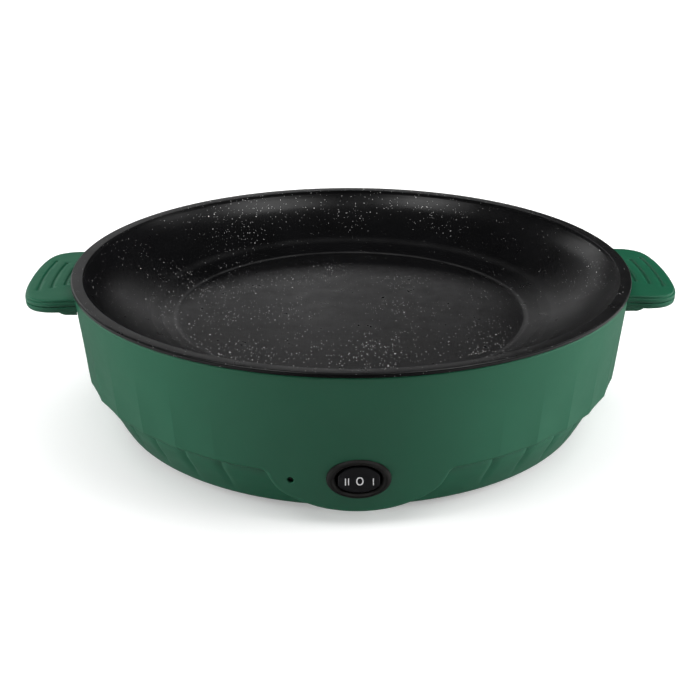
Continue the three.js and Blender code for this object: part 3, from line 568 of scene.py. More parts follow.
def shell_radius(phi, z):
    fade, fade_low, t, w = flute(phi, z)
    up = upper_r(z) - 0.75 * fade * (1 - t ** 2) * smooth(68, 36, z)
    # each lower lobe rises from its crease in a long hollow and drops over a rounded edge into the next one
    fall = np.clip((w - 0.85) / 0.15, 0, 1) ** 1.6
    rise = np.clip(1 - w / 0.24, 0, 1) ** 1.8
    low = lower_r(z) - fade_low * 1.2 * np.maximum(fall, rise) * smooth(6, 17, z)
    # signed distance to the edge of the proud region: upper tier joined to the two aprons
    side = np.where(np.cos(phi) > 0, phi, np.arctan2(np.sin(phi - np.pi), np.cos(phi - np.pi)))
    x = 150.0 * np.sin(side)
    d_apron = np.full(phi.shape, -9.0)
    near = np.abs(np.degrees(side)) < 22
    if near.any():
        pts = np.stack([x[near], z[near]], 1)
        d = distance(APRON, pts, closed=False)
        half = np.interp(np.clip(pts[:, 1], 7.6, 60), APRON[len(APRON) // 2:, 1], APRON[len(APRON) // 2:, 0])
        sign = np.where((pts[:, 1] > 7.6) & (np.abs(pts[:, 0]) < half), 1, -1)
        d_apron[near] = np.clip(d * sign, -9, 30)
    d_tier = z - TIER_Z
    k = 3.2
    h = np.maximum(k - np.abs(d_apron - d_tier), 0) / k
    d = np.maximum(d_apron, d_tier) + h * h * k * 0.25
    edge, wall, fil = 2.3, 1.1, 0.5
    e = np.clip(edge - d, 0, edge)
    proud = up - np.where(d < edge, edge - np.sqrt(np.maximum(edge ** 2 - e ** 2, 0)), 0)
    top, foot = up - edge, low + fil
    s = np.clip(-d / wall, 0, 1)
    mid = top + (foot - top) * s
    q = np.clip(-wall - d, 0, fil)
    base = low + fil - np.sqrt(np.maximum(fil ** 2 - (fil - q) ** 2, 0))
    out = np.where(d >= 0, proud, np.where(d > -wall, mid, base))
    # lower edge of the housing
    lip = np.clip(BASE_Z + 1.2 - z, 0, 1.2)
    return out - (1.2 - np.sqrt(np.maximum(1.44 - lip ** 2, 0))) * 0.9


def build_shell():
    fine = np.concatenate([np.linspace(3.4, 4.6, 5)[:-1], np.linspace(4.6, 7.0, 6)[:-1], np.arange(7.0, 31.0, 0.34), np.linspace(31.0, 38.0, 9)[:-1],
                           [38.0, 42, 46, 50, 54, 58, 62, 66, 70, 74, 77.5]])
    coarse_want = [3.4, 3.7, 4.0, 4.3, 4.6, 5.6, 7.0, 8.7, 10.5, 12.0, 13.5, 15, 16.5, 18, 19.5, 21, 22.3, 23.5, 24.5, 25.3, 26.0, 26.4, 26.8, 27.1, 27.4, 27.8, 28.1, 28.4, 28.8,
                   29.1, 29.5, 29.8, 30.2, 31.0, 33, 35.5, 38.0, 42, 46, 50, 54, 58, 62, 66, 70, 74, 77.5]
    coarse_i = sorted({int(np.abs(fine - w).argmin()) for w in coarse_want})
    cols = []
    for centre in (0, 180):
        cols += [(centre + a, True) for a in np.arange(-19.5, 19.51, 0.125)]
    across = [0, 0.12, 0.24, 0.36, 0.48, 0.6, 0.72, 0.84, 0.96, 1.08, 1.2, 1.35, 1.5, 1.7, 1.95, 2.25, 2.6, 3.1, 3.8, 4.5]
    coarse = {round(9.0 * k + s * o, 3) for k in range(2, 39) for o in across for s in (-1, 1)}
    for a in sorted(coarse):
        if 19.7 < a < 160.3 or 199.7 < a < 340.3:
            cols.append((a, False))
    cols = sorted(((a + 90) % 360 - 90, k) for a, k in cols)
    phis = np.radians([c[0] for c in cols])
    verts, start, rows_of = [], [], []
    n = 0
    for (a, is_fine), phi in zip(cols, phis):
        z = fine if is_fine else fine[coarse_i]
        r = shell_radius(np.full(len(z), phi), z)
        verts.append(np.stack([r * math.sin(phi), -r * math.cos(phi), z], 1))
        start.append(n)
        rows_of.append(list(range(len(fine))) if is_fine else coarse_i)
        n += len(z)
    faces = []
    m = len(cols)
    for i in range(m):
        j = (i + 1) % m
        ri, rj = rows_of[i], rows_of[j]
        if ri == rj or len(ri) == len(rj):
            for k in range(len(ri) - 1):
                faces.append([start[i] + k, start[j] + k, start[j] + k + 1, start[i] + k + 1])
            continue
        few, many, sf, sm = (ri, rj, start[i], start[j]) if len(ri) < len(rj) else (rj, ri, start[j], start[i])
        flip = few is rj
        for k in range(len(few) - 1):
            lo, hi = few[k], few[k + 1]
            mid = (lo + hi) // 2
            for q in range(lo, hi):
                apex = sf + k if q < mid or hi == lo + 1 else sf + k + 1
                tri = [apex, sm + q, sm + q + 1]
                faces.append(tri[::-1] if flip else tri)
            if hi > lo + 1:
                tri = [sf + k, sm + mid, sf + k + 1]
            else:
                tri = [sf + k, sm + hi, sf + k + 1]
            faces.append(tri[::-1] if flip else tri)
    verts = np.vstack(verts)
    # top edge, inner wall and lower lip as a ring per column
    bm = bmesh.new()
    bv = [bm.verts.new(p) for p in verts]
    bm.verts.ensure_lookup_table()
    for f in faces:
        try:
            bm.faces.new([bv[k] for k in f])
        except ValueError:
            pass
    extra_top = [(155.4, 80.5), (155.45, 81.35), (155.25, 81.85), (154.9, SHELL_TOP_Z), (153.4, SHELL_TOP_Z), (153.0, 81.6), (153.0, 79), (151.0, 57), (148.2, 30.9),
                 (140.6, 30.9), (138.9, 19), (134.9, 9.0), (128.8, 9.0), (128.8, 6.7), (131.9, 6.7), (131.9, 3.7), (132.2, 3.4)]
    prev = [bv[start[i] + len(rows_of[i]) - 1] for i in range(m)]
    first = [bv[start[i]] for i in range(m)]
    sn, cs = np.sin(phis), -np.cos(phis)
    # the outer columns are thinned to every fourth inside, where nothing fine is seen
    for r, z in extra_top[:5]:
        ring = [bm.verts.new((r * sn[i], r * cs[i], z)) for i in range(m)]
        for i in range(m):
            j = (i + 1) % m
            bm.faces.new([prev[i], prev[j], ring[j], ring[i]])
        prev = ring
    keep = [i for i in range(m) if not cols[i][1] or i % 8 == 0]
    ringk = [bm.verts.new((extra_top[5][0] * sn[i], extra_top[5][0] * cs[i], extra_top[5][1])) for i in keep]
    for a in range(len(keep)):
        b = (a + 1) % len(keep)
        i, j = keep[a], keep[b]
        span_ids = list(range(i, j + 1)) if j > i else list(range(i, m)) + list(range(0, j + 1))
        bm.faces.new([prev[k] for k in span_ids] + [ringk[b], ringk[a]])
    prev = ringk
    for r, z in extra_top[6:-1]:
        ring = [bm.verts.new((r * sn[i], r * cs[i], z)) for i in keep]
        for a in range(len(keep)):
            b = (a + 1) % len(keep)
            bm.faces.new([prev[a], prev[b], ring[b], ring[a]])
        prev = ring
    r, z = extra_top[-1]
    ring = [bm.verts.new((r * sn[i], r * cs[i], z)) for i in range(m)]
    for a in range(len(keep)):
        b = (a + 1) % len(keep)
        i, j = keep[a], keep[b]
        span_ids = list(range(i, j + 1)) if j > i else list(range(i, m)) + list(range(0, j + 1))
        bm.faces.new([ring[k] for k in span_ids] + [prev[b], prev[a]])
    for i in range(m):
        j = (i + 1) % m
        bm.faces.new([ring[i], ring[j], first[j], first[i]])

    def hole(matrix, shape, depth, lip):
        """Opens the outer wall along a fitting's axis. shape(x, y) is below 1 inside the hole."""
        inv = np.array(matrix.inverted())
        co = np.array([v.co for v in bm.verts])
        loc = co @ inv[:3, :3].T + inv[:3, 3]
        rr = np.hypot(co[:, 0], co[:, 1])
        outer = (np.abs(loc[:, 2]) < 3.5) & (rr > 142)
        bm.verts.index_update()
        gone = []
        for f in bm.faces:
            ids = [v.index for v in f.verts]
            if not all(outer[k] for k in ids):
                continue
            c = loc[ids].mean(0)
            if shape(c[0], c[1]) < 1:
                gone.append(f)
        border = set()
        bmesh.ops.delete(bm, geom=gone, context="FACES_ONLY")
        loose = [e for e in bm.edges if not e.link_faces]
        edges = [e for e in bm.edges if len(e.link_faces) == 1]
        for v in [v for v in bm.verts if not v.link_faces]:
            bm.verts.remove(v)
        edges = [e for e in bm.edges if e.is_valid and len(e.link_faces) == 1]
        near = []
        mi = matrix.inverted()
        for e in edges:
            a, b = mi @ e.verts[0].co, mi @ e.verts[1].co
            if all(abs(p.z) < 4 and shape(p.x, p.y) < 2.2 for p in (a, b)):
                near.append(e)
        border = {v for e in near for v in e.verts}
        for v in border:
            p = mi @ v.co
            s = shape(p.x, p.y) ** 0.5
            p.x, p.y = p.x / s, p.y / s
            v.co = matrix @ p
        ring = near
        for dx, dz in ((lip, -lip), (0.0, -depth)):
            made = bmesh.ops.extrude_edge_only(bm, edges=ring)["geom"]
            ring = [g for g in made if isinstance(g, bmesh.types.BMEdge) and len(g.link_faces) == 1]
            for v in [g for g in made if isinstance(g, bmesh.types.BMVert)]:
                p = mi @ v.co
                k = 1 - dx / max(math.hypot(p.x, p.y), 1e-6)
                p.x, p.y, p.z = p.x * k, p.y * k, p.z + dz
                v.co = matrix @ p

    hole(LAMP, lambda x, y: (x * x + y * y) / 1.78 ** 2, 2.2, 0.15)
    hole(SWITCH, lambda x, y: (x / 13.7) ** 2 + (y / 9.6) ** 2, 1.5, 0.05)
    hole(INLET, lambda x, y: max(abs(x) / 14.6, abs(y) / 10.8) ** 2, 1.5, 0.05)

    def clear(matrix, half_x, half_y):
        """Cuts the same opening through the inner skin and the shoulder behind a fitting."""
        inv = matrix.inverted()

        def inner(grow):
            found = []
            for f in bm.faces:
                c = inv @ f.calc_center_median()
                if -16 < c.z < -1.9 and abs(c.x) < half_x + grow and abs(c.y) < half_y + grow:
                    found.append(f)
            return found

        for axis, half in ((0, half_x), (1, half_y)):
            for sign in (-1, 1):
                way = Vector((0, 0, 0))
                way[axis] = sign
                faces = inner(30)
                geom = faces + list({e for f in faces for e in f.edges}) + list({v for f in faces for v in f.verts})
                bmesh.ops.bisect_plane(bm, geom=geom, plane_co=matrix @ (way * half), plane_no=matrix.to_3x3() @ way, dist=1e-4)
        bmesh.ops.delete(bm, geom=inner(0), context="FACES")

    clear(INLET, 14.4, 10.9)
    me = bpy.data.meshes.new("housing")
    for v in bm.verts:
        v.co *= MM
    bmesh.ops.recalc_face_normals(bm, faces=bm.faces)
    bm.to_mesh(me)
    bm.free()
    me.shade_smooth()
    me.set_sharp_from_angle(angle=math.radians(58))
    me.materials.append(GREEN)
    ob = bpy.data.objects.new("housing", me)
    bpy.context.scene.collection.objects.link(ob)
    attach(ob, ROOT)
    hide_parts("shell")
    return ob


# --------------------------------------------------------------------- handles
HANDLE_HALF = [(154.0, 41.6), (158, 42.3), (162, 42.6), (167.5, 41.8), (172.5, 39.4), (176.2, 35.6), (178.7, 30), (180.35, 22), (181.4, 12), (181.8, 0)]


def handle_outline():
    half = spline(HANDLE_HALF, 7)
    free = np.vstack([half * [1, -1], half[::-1][1:]])  # anticlockwise from the front root to the rear root
    a = math.asin(41.6 / 154.3)
    root = [[154.3 * math.cos(t), 154.3 * math.sin(t)] for t in np.linspace(a, -a, 15)]
    free[0], free[-1] = root[-1], root[0]
    return free, np.array(root[1:-1])


def handle_ring(free, root, inset, z):
    """The free edge moved inwards by inset, its root end held on the housing wall."""
    t = np.gradient(free, axis=0)
    t /= np.linalg.norm(t, axis=1)[:, None]
    nrm = np.stack([t[:, 1], -t[:, 0]], 1)
    loop = np.vstack([free - nrm * inset, root])
    return at_z(loop, z)


def groove_loop(x_mid, x_end, half, width):
    """Closed outline at a distance of width round a bowed centreline, with round ends."""
    y = np.linspace(-half, half, 15)
    line = np.stack([x_mid - (x_mid - x_end) * (y / half) ** 2, y], 1)
    t = np.gradient(line, axis=0)
    t /= np.linalg.norm(t, axis=1)[:, None]
    nrm = np.stack([t[:, 1], -t[:, 0]], 1)
    end = line[-1] + np.stack([math.cos(a) * nrm[-1] + math.sin(a) * t[-1] for a in np.linspace(0, math.pi, 8)[1:-1]]) * width
    start = line[0] + np.stack([-math.cos(a) * nrm[0] - math.sin(a) * t[0] for a in np.linspace(0, math.pi, 8)[1:-1]]) * width
    return np.vstack([line + nrm * width, end, (line - nrm * width)[::-1], start])


GROOVES = [(174.2, 172.8, 24.5), (167.2, 166.0, 20.6), (160.2, 159.4, 16.0)]


def build_handles():
    free, root = handle_outline()
    nf = len(free)
    # upper half: stepped side, rounded top edge, three grooves
    sides = [(-0.0, 73.45), (0.0, 73.25)]
    prof = [(0.6, 73.25), (0.25, 73.27), (0.12, 73.35), (0.05, 73.6), (0.0, 74.0), (0.0, 74.4), (0.04, 74.8), (0.16, 75.15), (0.36, 75.4), (0.6, 75.52), (0.95, 75.55), (1.0, 75.62),
            (0.98, 75.9), (1.0, 76.25), (1.1, 76.55), (1.32, 76.78), (1.7, 76.88)]
    rings = [handle_ring(free, root, i, z) for i, z in prof]
    top = Parts().add(*strip(rings, closed=True, cap_start=True))
    outer = rings[-1][:, :2]
    loops, zmap = [], []
    for xm, xe, h in GROOVES:
        for w in (0.98, 0.8, 0.62, 0.4, 0.15):
            loops.append(groove_loop(xm, xe, h, w))
    grid = []
    for x in np.arange(156.5, 181, 1.6):
        for y in np.arange(-41, 41.01, 2.4):
            grid.append((x, y))
    grid = np.array(grid)
    ok = inside(outer, grid) & (distance(outer, grid) > 0.9)
    for lp in loops:
        ok &= distance(lp, grid) > 0.45
    v2, tri = fill(outer, loops=loops, points=grid[ok])
    depth = np.zeros(len(v2))
    for xm, xe, h in GROOVES:
        y = np.linspace(-h, h, 25)
        line = np.stack([xm - (xm - xe) * (y / h) ** 2, y], 1)
        q = distance(line, v2, closed=False)
        for ex in (line[0], line[-1]):
            q = np.minimum(q, np.maximum(np.hypot(*(v2 - ex).T) - 0.25, 0))
        depth = np.maximum(depth, 0.85 * (1 - smooth(0.28, 0.98, q)))
    crown = 0.01 + 0.0 * v2[:, 0]
    z = 76.88 + crown * smooth(0.0, 3.0, distance(outer, v2)) - depth
    top.add(np.column_stack([v2, z]), tri)
    # lower half with its root gusset
    prof = [(0.6, 72.95), (0.25, 72.9), (0.1, 72.75), (0.0, 72.4), (0.02, 71.7), (0.14, 71.0), (0.42, 70.35), (0.85, 69.9), (1.4, 69.7)]
    rings = [handle_ring(free, root, i, z) for i, z in prof]
    bottom = Parts().add(*strip(rings, closed=True, cap_start=True))
    out2 = rings[-1][:, :2]
    v2, tri = fill(out2, points=[p for p in grid[ok] if inside(out2, np.array([p]))[0]])
    bottom.add(np.column_stack([v2, np.full(len(v2), 69.7)]), tri)
    sweep = spline([(156.0, 66.6), (157.8, 67.1), (159.4, 68.2), (161.4, 69.2), (164.4, 69.75)], 6)
    rg = []
    for y, k in ((-39.2, 0.2), (-39.0, 0.55), (-38.4, 0.82), (-37.2, 0.97), (-35.5, 1.0), (-24, 1.0), (-12, 1.0), (0, 1.0), (12, 1.0), (24, 1.0), (35.5, 1.0), (37.2, 0.97), (38.4, 0.82), (39.0, 0.55), (39.2, 0.2)):
        x0 = math.sqrt(154.4 ** 2 - y * y)
        low = np.vstack([[x0, 66.6], sweep])
        low[:, 1] = 70.9 + (low[:, 1] - 70.9) * k
        pts = np.vstack([low, [[164.4, 70.9], [x0, 70.9]]])
        rg.append(np.column_stack([pts[:, 0], np.full(len(pts), y), pts[:, 1]]))
    bottom.add(*strip(rg, closed=True, cap_start=True, cap_end=True))
    for side, turn in (("right", 0.0), ("left", math.pi)):
        m = np.array(Matrix.Rotation(turn, 4, "Z"))[:3, :3].T
        make(f"handle_{side}_upper", top.verts() @ m, top.f, GREEN, replaces=(f"handle_{side}_top",), sharp=40)
        make(f"handle_{side}_lower", bottom.verts() @ m, bottom.f, GREEN, replaces=(f"handle_{side}_bottom",), sharp=40)


# ---------------------------------------------------------------------- switch
def oval_lathe(profile, seg):
    """Ring profile whose half-axis ratio runs from the mouth's to the bezel's."""
    inner, outer = MOUTH_X / MOUTH_Y, BEZEL_X / BEZEL_Y
    ang = 2 * np.pi * np.arange(seg) / seg
    rings = []
    for r, z in profile:
        k = inner + (outer - inner) * float(smooth(MOUTH_Y, BEZEL_Y, r))
        rings.append(np.stack([r * k * np.cos(ang), r * np.sin(ang), np.full(seg, z)], 1))
    return strip(rings)


def build_switch():
    prof = rounded([(8.5, -0.9), (10.75, -0.9), (10.9, -0.4, 0.2), (10.88, 0.3, 0.4), (10.35, 1.35, 1.4), (9.55, 1.95, 0.9), (8.9, 1.75, 0.8), (8.2, 0.55, 0.5), (7.95, -0.3, 0.3), (7.95, -7.4), (4.2, -7.4)], n=6)
    body = Parts().add(*oval_lathe(prof, 144))
    rr = oval(13.3, 9.2, 72)
    rings = [at_z(rr * 0.97, -0.6), at_z(rr, -1.0), at_z(rr, -18.3), at_z(offset(rr, -0.3), -18.6)]
    body.add(*strip(rings, cap_end=True))
    make("switch_housing", apply(body.verts(), SWITCH), body.f, BLACK, replaces=("switch_body",), sharp=55)

    # rocker: dished oval face, rounded edge, ends that follow the swing arc
    n = 120
    ang = 2 * np.pi * np.arange(n) / n
    a, b = 10.45, 7.6

    def dish(x):
        return 45.9 - np.sqrt(45.0 ** 2 - np.asarray(x) ** 2)

    def arc(w):
        return np.sqrt(np.maximum(SWING_R ** 2 - (np.asarray(w) - PIVOT_W) ** 2, 0))

    def reach(y, w):
        """How wide a point of the rocker may stand and still clear the mouth at the end of the swing."""
        mouth = MOUTH_X * np.sqrt(np.maximum(1 - (np.asarray(y) / MOUTH_Y) ** 2, 0))
        lean = math.radians(10.2)
        return np.maximum((mouth - 0.07 - np.abs(np.asarray(w) - PIVOT_W) * math.sin(lean)) / math.cos(lean), 0.02)

    rings = []
    for w, inset in ((-5.4, 0.3), (-5.1, 0.0), (-3.0, 0.0), (-1.0, 0.0), (0.2, 0.0)):
        x = (a - inset) * np.cos(ang)
        y = (b - inset) * np.sin(ang)
        lim = np.minimum(arc(w) - inset, reach(y, w))
        x = np.clip(x, -lim, lim)
        rings.append(np.stack([x, y, np.full(n, w)], 1))
    edge = 0.75
    for t in np.linspace(0, math.pi / 2, 7):
        inset, drop = edge * (1 - math.cos(t)), edge * (1 - math.sin(t))
        x = (a - inset) * np.cos(ang)
        y = (b - inset) * np.sin(ang)
        lim = np.minimum(arc(1.2) - inset, reach(y, 1.2))
        x = np.clip(x, -lim, lim)
        rings.append(np.stack([x, y, dish(x) - drop], 1))
    for s in (0.88, 0.78, 0.66, 0.53, 0.4, 0.27, 0.14, 0.03):
        p = rings[-1 if s == 0.88 else -1][:, :2]
        x, y = (a - edge) * s * np.cos(ang), (b - edge) * s * np.sin(ang)
        lim = (arc(1.2) - edge) * s / 0.93 if s > 0.9 else 99
        x = np.clip(x, -lim, lim)
        rings.append(np.stack([x, y, dish(x)], 1))
    rk = Parts().add(*strip(rings, cap_start=True, cap_end=True))
    stem = lathe([(1.75, -3.9), (1.75, -9.2), (2.45, -9.2), (2.7, -8.95), (2.7, -5.0)], 36, closed=False)
    rk.add(*stem)
    make("rocker_cap", apply(rk.verts(), SWITCH), rk.f, ROCKER_BLACK, body=ROCKER, replaces=("switch_rocker",), sharp=50)

    # legends II, O, I as thin printed plates that follow the dish
    lg = Parts()

    def plate(outer, hole=None):
        outer = np.asarray(outer, float)
        if hole is None:
            v, f = fill(outer)
            loops = [outer]
        else:
            v, f = fill(outer, holes=[hole])
            loops = [outer, hole]
        lg.add(np.column_stack([v, dish(v[:, 0]) + 0.045]), f)
        for lp in loops:
            lg.add(*strip([np.column_stack([lp, dish(lp[:, 0]) + 0.045]), np.column_stack([lp, dish(lp[:, 0]) - 0.08])]))

    for x in (-6.3, -4.85, 6.8):
        plate(round_rect(0.23, 2.0, 0.12, 4) + [x, -0.7])
    plate(oval(1.72, 2.35, 56, 2.25) + [0.45, -0.7], oval(1.15, 1.75, 48, 2.2)[::-1] + [0.45, -0.7])
    make("rocker_legends", apply(lg.verts(), SWITCH), lg.f, LEGEND, body=ROCKER, sharp=40, weld=0.0005)

    # pilot lamp lens, a little below the wall
    v, f = lathe(rounded([(0, -1.1), (0.9, -1.2, 0.8), (1.5, -2.1, 0.5), (1.5, -8.5), (1.9, -8.6), (1.9, -9.8), (0, -9.8)], n=5), 48, closed=False)
    make("lamp_lens_dome", apply(v, LAMP), f, LENS, replaces=("lamp_led",), sharp=50)


def apply(verts, matrix):
    m = np.array(matrix)
    return np.asarray(verts, float) @ m[:3, :3].T + m[:3, 3]


# ----------------------------------------------------------------------- inlet
def build_inlet():
    body = Parts()
    flange = round_rect(20, 12, 2.8, 8)
    cav = rounded([(-12.1, 6.2, 0.6), (-10.1, 8.2, 0.6), (10.1, 8.2, 0.6), (12.1, 6.2, 0.6), (12.1, -8.2, 0.9), (-12.1, -8.2, 0.9)], closed=True, n=4)[::-1]
    rings = [at_z(offset(flange, -0.1), -0.9), at_z(flange, -0.6), at_z(flange, 1.5), at_z(offset(flange, -0.16), 1.95), at_z(offset(flange, -0.5), 2.16), at_z(offset(flange, -0.9), 2.2)]
    body.add(*strip(rings))
    holes = [circle(2.3, 28, x, 0) for x in (-17.4, 17.4)]
    mouth = offset(cav[::-1], 0.35)
    v, f = fill(offset(flange, -0.9), holes=[mouth, *holes])
    body.add(np.column_stack([v, np.full(len(v), 2.2)]), f)
    lead = cav[::-1]
    body.add(*strip([at_z(offset(lead, 0.35), 2.2), at_z(offset(lead, 0.1), 2.05), at_z(lead, 1.75), at_z(lead, -17)], cap_end=True))
    for x in (-17.4, 17.4):
        body.add(*strip([at_z(circle(2.3, 28, x, 0), 2.2), at_z(circle(1.9, 28, x, 0), 1.8), at_z(circle(1.9, 28, x, 0), -0.9)]))
    block = round_rect(14, 10.5, 2.2, 6)
    body.add(*strip([at_z(block, -0.7), at_z(block, -20.7), at_z(offset(block, -0.3), -21)], cap_end=True))
    make("inlet_socket", apply(body.verts(), INLET), body.f, BLACK, replaces=("inlet_body",), sharp=45)
    for name, x, y in (("live", -7, -2.2), ("neutral", 7, -2.2), ("earth", 0, 2.4)):
        rr = round_rect(1, 2, 0.25, 4)
        rings = [at_z(rr, -26), at_z(rr, -5.6), at_z(offset(rr, -0.12), -5.0), at_z(offset(rr, -0.4), -4.66), at_z(offset(rr, -0.6), -4.6)]
        v, f = strip(rings, cap_start=True, cap_end=True)
        make(f"pin_{name}", apply(v + [x, y, 0], INLET), f, BRASS, replaces=(f"inlet_pin_{name}",), sharp=40)
    for side, x in (("left", 17.4), ("right", -17.4)):
        head = rounded([(1.5, -7.4), (1.5, 2.24), (3.0, 2.24), (3.1, 2.5, 0.15), (2.95, 3.4, 0.4), (1.6, 4.1, 1.0), (0.9, 4.16)], n=5)
        v, f = lathe([(0, -7.4)] + [tuple(p) for p in head], 40, closed=False)
        sc = Parts().add(v, f)
        # cross recess
        arm, wid = 1.55, 0.3
        cross = np.array([(arm, -wid), (arm, wid), (wid, wid), (wid, arm), (-wid, arm), (-wid, wid), (-arm, wid), (-arm, -wid), (-wid, -wid), (-wid, -arm), (wid, -arm), (wid, -wid)])
        sc.add(*strip([at_z(cross, 4.2), at_z(cross * 0.55, 2.9)], cap_end=True))
        make(f"inlet_screw_head_{side}", apply(sc.verts() + [x, 0, 0], INLET), sc.f, STEEL, replaces=(f"inlet_screw_{side}",), sharp=35)


# ------------------------------------------------------------- base and gasket
def build_base():
    cover = Parts()
    R = 131.0
    n = 240
    outer_rings = [at_z(circle(127.9, n), 6.8), at_z(circle(127.9, n), 6.5), at_z(circle(R - 0.4, n), 6.4), at_z(circle(R, n), 6.1), at_z(circle(R, n), 4.9), at_z(circle(R - 0.15, n), 4.6), at_z(circle(R - 0.5, n), 4.4)]
    cover.add(*strip(outer_rings))
    slots, wells, feet = [], [], []
    for i in range(12):
        a = math.radians(i * 30)
        rot = np.array([[math.cos(a), math.sin(a)], [-math.sin(a), math.cos(a)]])
        slots.append((round_rect(10, 1.5, 1.49, 6) + [52, 0]) @ rot)
    for a in (45, 135, 225, 315):
        sx, sy = math.sin(math.radians(a)), -math.cos(math.radians(a))
        wells.append(circle(5.3, 36, 92 * sx, 92 * sy))
        feet.append(circle(8.4, 44, 112 * sx, 112 * sy))
    bevel = 0.45
    grow = [offset(s, bevel) for s in slots + wells + feet]
    # moulded stiffening ring, seen as a shallow groove underneath
    v, f = fill(circle(R - 0.5, n), holes=grow, loops=[circle(r, n) for r in (122.4, 121.9, 120.6, 120.1, 78.4, 77.9, 76.9, 76.4, 34.4, 33.9, 32.9, 32.4)],
                points=[p for r in (20, 44, 60, 68, 86, 98, 106, 126) for p in circle(r, max(24, int(r)))])
    rad = np.hypot(v[:, 0], v[:, 1])
    dip = np.zeros(len(v))
    for lo, hi in ((120.1, 122.4), (76.4, 78.4), (32.4, 34.4)):
        dip += 0.45 * smooth(lo - 0.01, lo + 0.5, rad) * smooth(hi + 0.01, hi - 0.5, rad)
    cover.add(np.column_stack([v, 4.4 + dip]), f)
    for s, g in zip(slots, grow[:12]):
        cover.add(*strip([at_z(g, 4.4), at_z(offset(s, bevel * 0.3), 4.53), at_z(s, 4.85), at_z(s, 6.8)]))
    for s, g in zip(wells, grow[12:16]):
        c = s.mean(0)
        cover.add(*strip([at_z(g, 4.4), at_z(offset(s, bevel * 0.3), 4.53), at_z(s, 4.85), at_z(c + (s - c) * 0.95, 24.2), at_z(c + (s - c) * 0.38, 24.2), at_z(c + (s - c) * 0.38, 37.6),
                          at_z(c + (s - c) * 1.17, 37.6), at_z(c + (s - c) * 1.55, 6.8)]))
    for s, g in zip(feet, grow[16:20]):
        c = s.mean(0)
        cover.add(*strip([at_z(g, 4.4), at_z(offset(s, bevel * 0.3), 4.5), at_z(s, 4.75), at_z(s, 5.6)], cap_end=True))
    v, f = fill(circle(127.9, n), holes=slots + [w.mean(0) + (w - w.mean(0)) * 1.55 for w in wells], points=[p for r in (20, 68, 106) for p in circle(r, 40)])
    cover.add(np.column_stack([v, np.full(len(v), 6.8)]), f)
    make("base_cover_moulded", cover.verts(), cover.f, COVER, replaces=("base_cover",), sharp=38)
    names = {45: "front_right", 135: "rear_right", 225: "rear_left", 315: "front_left"}
    for a, nm in names.items():
        sx, sy = math.sin(math.radians(a)), -math.cos(math.radians(a))
        prof = rounded([(0, 5.3), (7.9, 5.3), (8.0, 1.4, 0.1), (7.55, 0.35, 0.5), (6.6, 0.0, 0.4), (5.2, 0.0, 0.2), (4.9, 0.35, 0.2), (3.4, 0.35, 0.2), (3.1, 0.0, 0.2), (1.2, 0.0), (0, 0.0)], n=4)
        v, f = lathe(prof, 64, closed=False)
        make(f"foot_pad_{nm}", v + [112 * sx, 112 * sy, 0], f, RUBBER, replaces=(f"foot_{nm}",), sharp=50)
        head = rounded([(0, 46.6), (1.6, 46.6), (1.6, 23.8), (3.9, 23.8), (4.0, 23.5, 0.2), (3.9, 22.6, 0.5), (2.6, 21.6, 0.8), (1.5, 21.45)], n=4)
        sc = Parts().add(*lathe(head, 40, closed=False))
        arm, wid = 1.9, 0.36
        cross = np.array([(arm, -wid), (arm, wid), (wid, wid), (wid, arm), (-wid, arm), (-wid, wid), (-arm, wid), (-arm, -wid), (-wid, -wid), (-wid, -arm), (wid, -arm), (wid, -wid)])
        sc.add(*strip([at_z(cross, 21.4), at_z(cross * 0.55, 22.9)], cap_end=True))
        make(f"base_screw_head_{nm}", sc.verts() + [92 * sx, 92 * sy, 0], sc.f, STEEL, replaces=(f"base_screw_{nm}",), sharp=35)
    v, f = lathe(rounded([(152.6, 82.12, 0.1), (154.3, 82.12, 0.1), (154.4, 82.6, 0.15), (153.6, 82.98, 0.3), (152.6, 82.85, 0.1)], closed=True, n=3), 240)
    make("rim_seal", v, f, GASKET, replaces=("rim_gasket",), sharp=60)


build_pan()
build_shell()
build_handles()
build_switch()
build_inlet()
build_base()

# ------------------------------------------------- materials of the kept nodes
KEPT = {
    STEEL: ["handle_screw_left_a", "handle_screw_left_b", "handle_screw_right_a", "handle_screw_right_b", "heater_pin_left", "heater_pin_right",
            "thermostat_bracket", "thermostat_screw_left", "thermostat_screw_right", "thermal_fuse", "fuse_clamp", "fuse_screw", "rocker_pin", "switch_spring"],
    SHIELD: ["heat_shield"],
    SHEATH: ["heater_tube"],
    CERAMIC: ["heater_insulator_left", "heater_insulator_right"],
    SLEEVE: ["fuse_sleeve"],
    PHENOLIC: ["thermostat"],
    BRASS: ["earth_screw", "switch_plunger", "terminal_common", "terminal_low", "terminal_high"],
    COPPER: ["contact_bridge"],
    BLACK: ["half_power_diode", "lamp_holder"],
    WIRE_WHITE: ["wire_fuse", "wire_high", "wire_low", "wire_heater"],
}
for material, names in KEPT.items():
    for name in names:
        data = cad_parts[name].data
        data.materials.clear()
        data.materials.append(material)
for name, material in WIRES.items():
    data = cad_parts[name].data
    data.materials.clear()
    data.materials.append(material)

# ----------------------------------------------------------------------- stage
fm, fnt, fb = new_material("pale_floor")
fnt.links.new(ramp(fnt, noise(fnt, 1.3, 2).outputs["Fac"], [(0.3, (0.79, 0.79, 0.79)), (0.7, (0.81, 0.81, 0.81))]), fb.inputs["Base Color"])
fb.inputs["Roughness"].default_value = 0.9
fb.inputs["Emission Color"].default_value = (1, 1, 1, 1)
fb.inputs["Emission Strength"].default_value = 0.3
fb.inputs["Specular IOR Level"].default_value = 0.1
bpy.ops.mesh.primitive_plane_add(size=14, location=(0, 2.0, 0))
floor = bpy.context.object
floor.name = "floor"
floor.data.materials.append(fm)

floor.visible_glossy = False

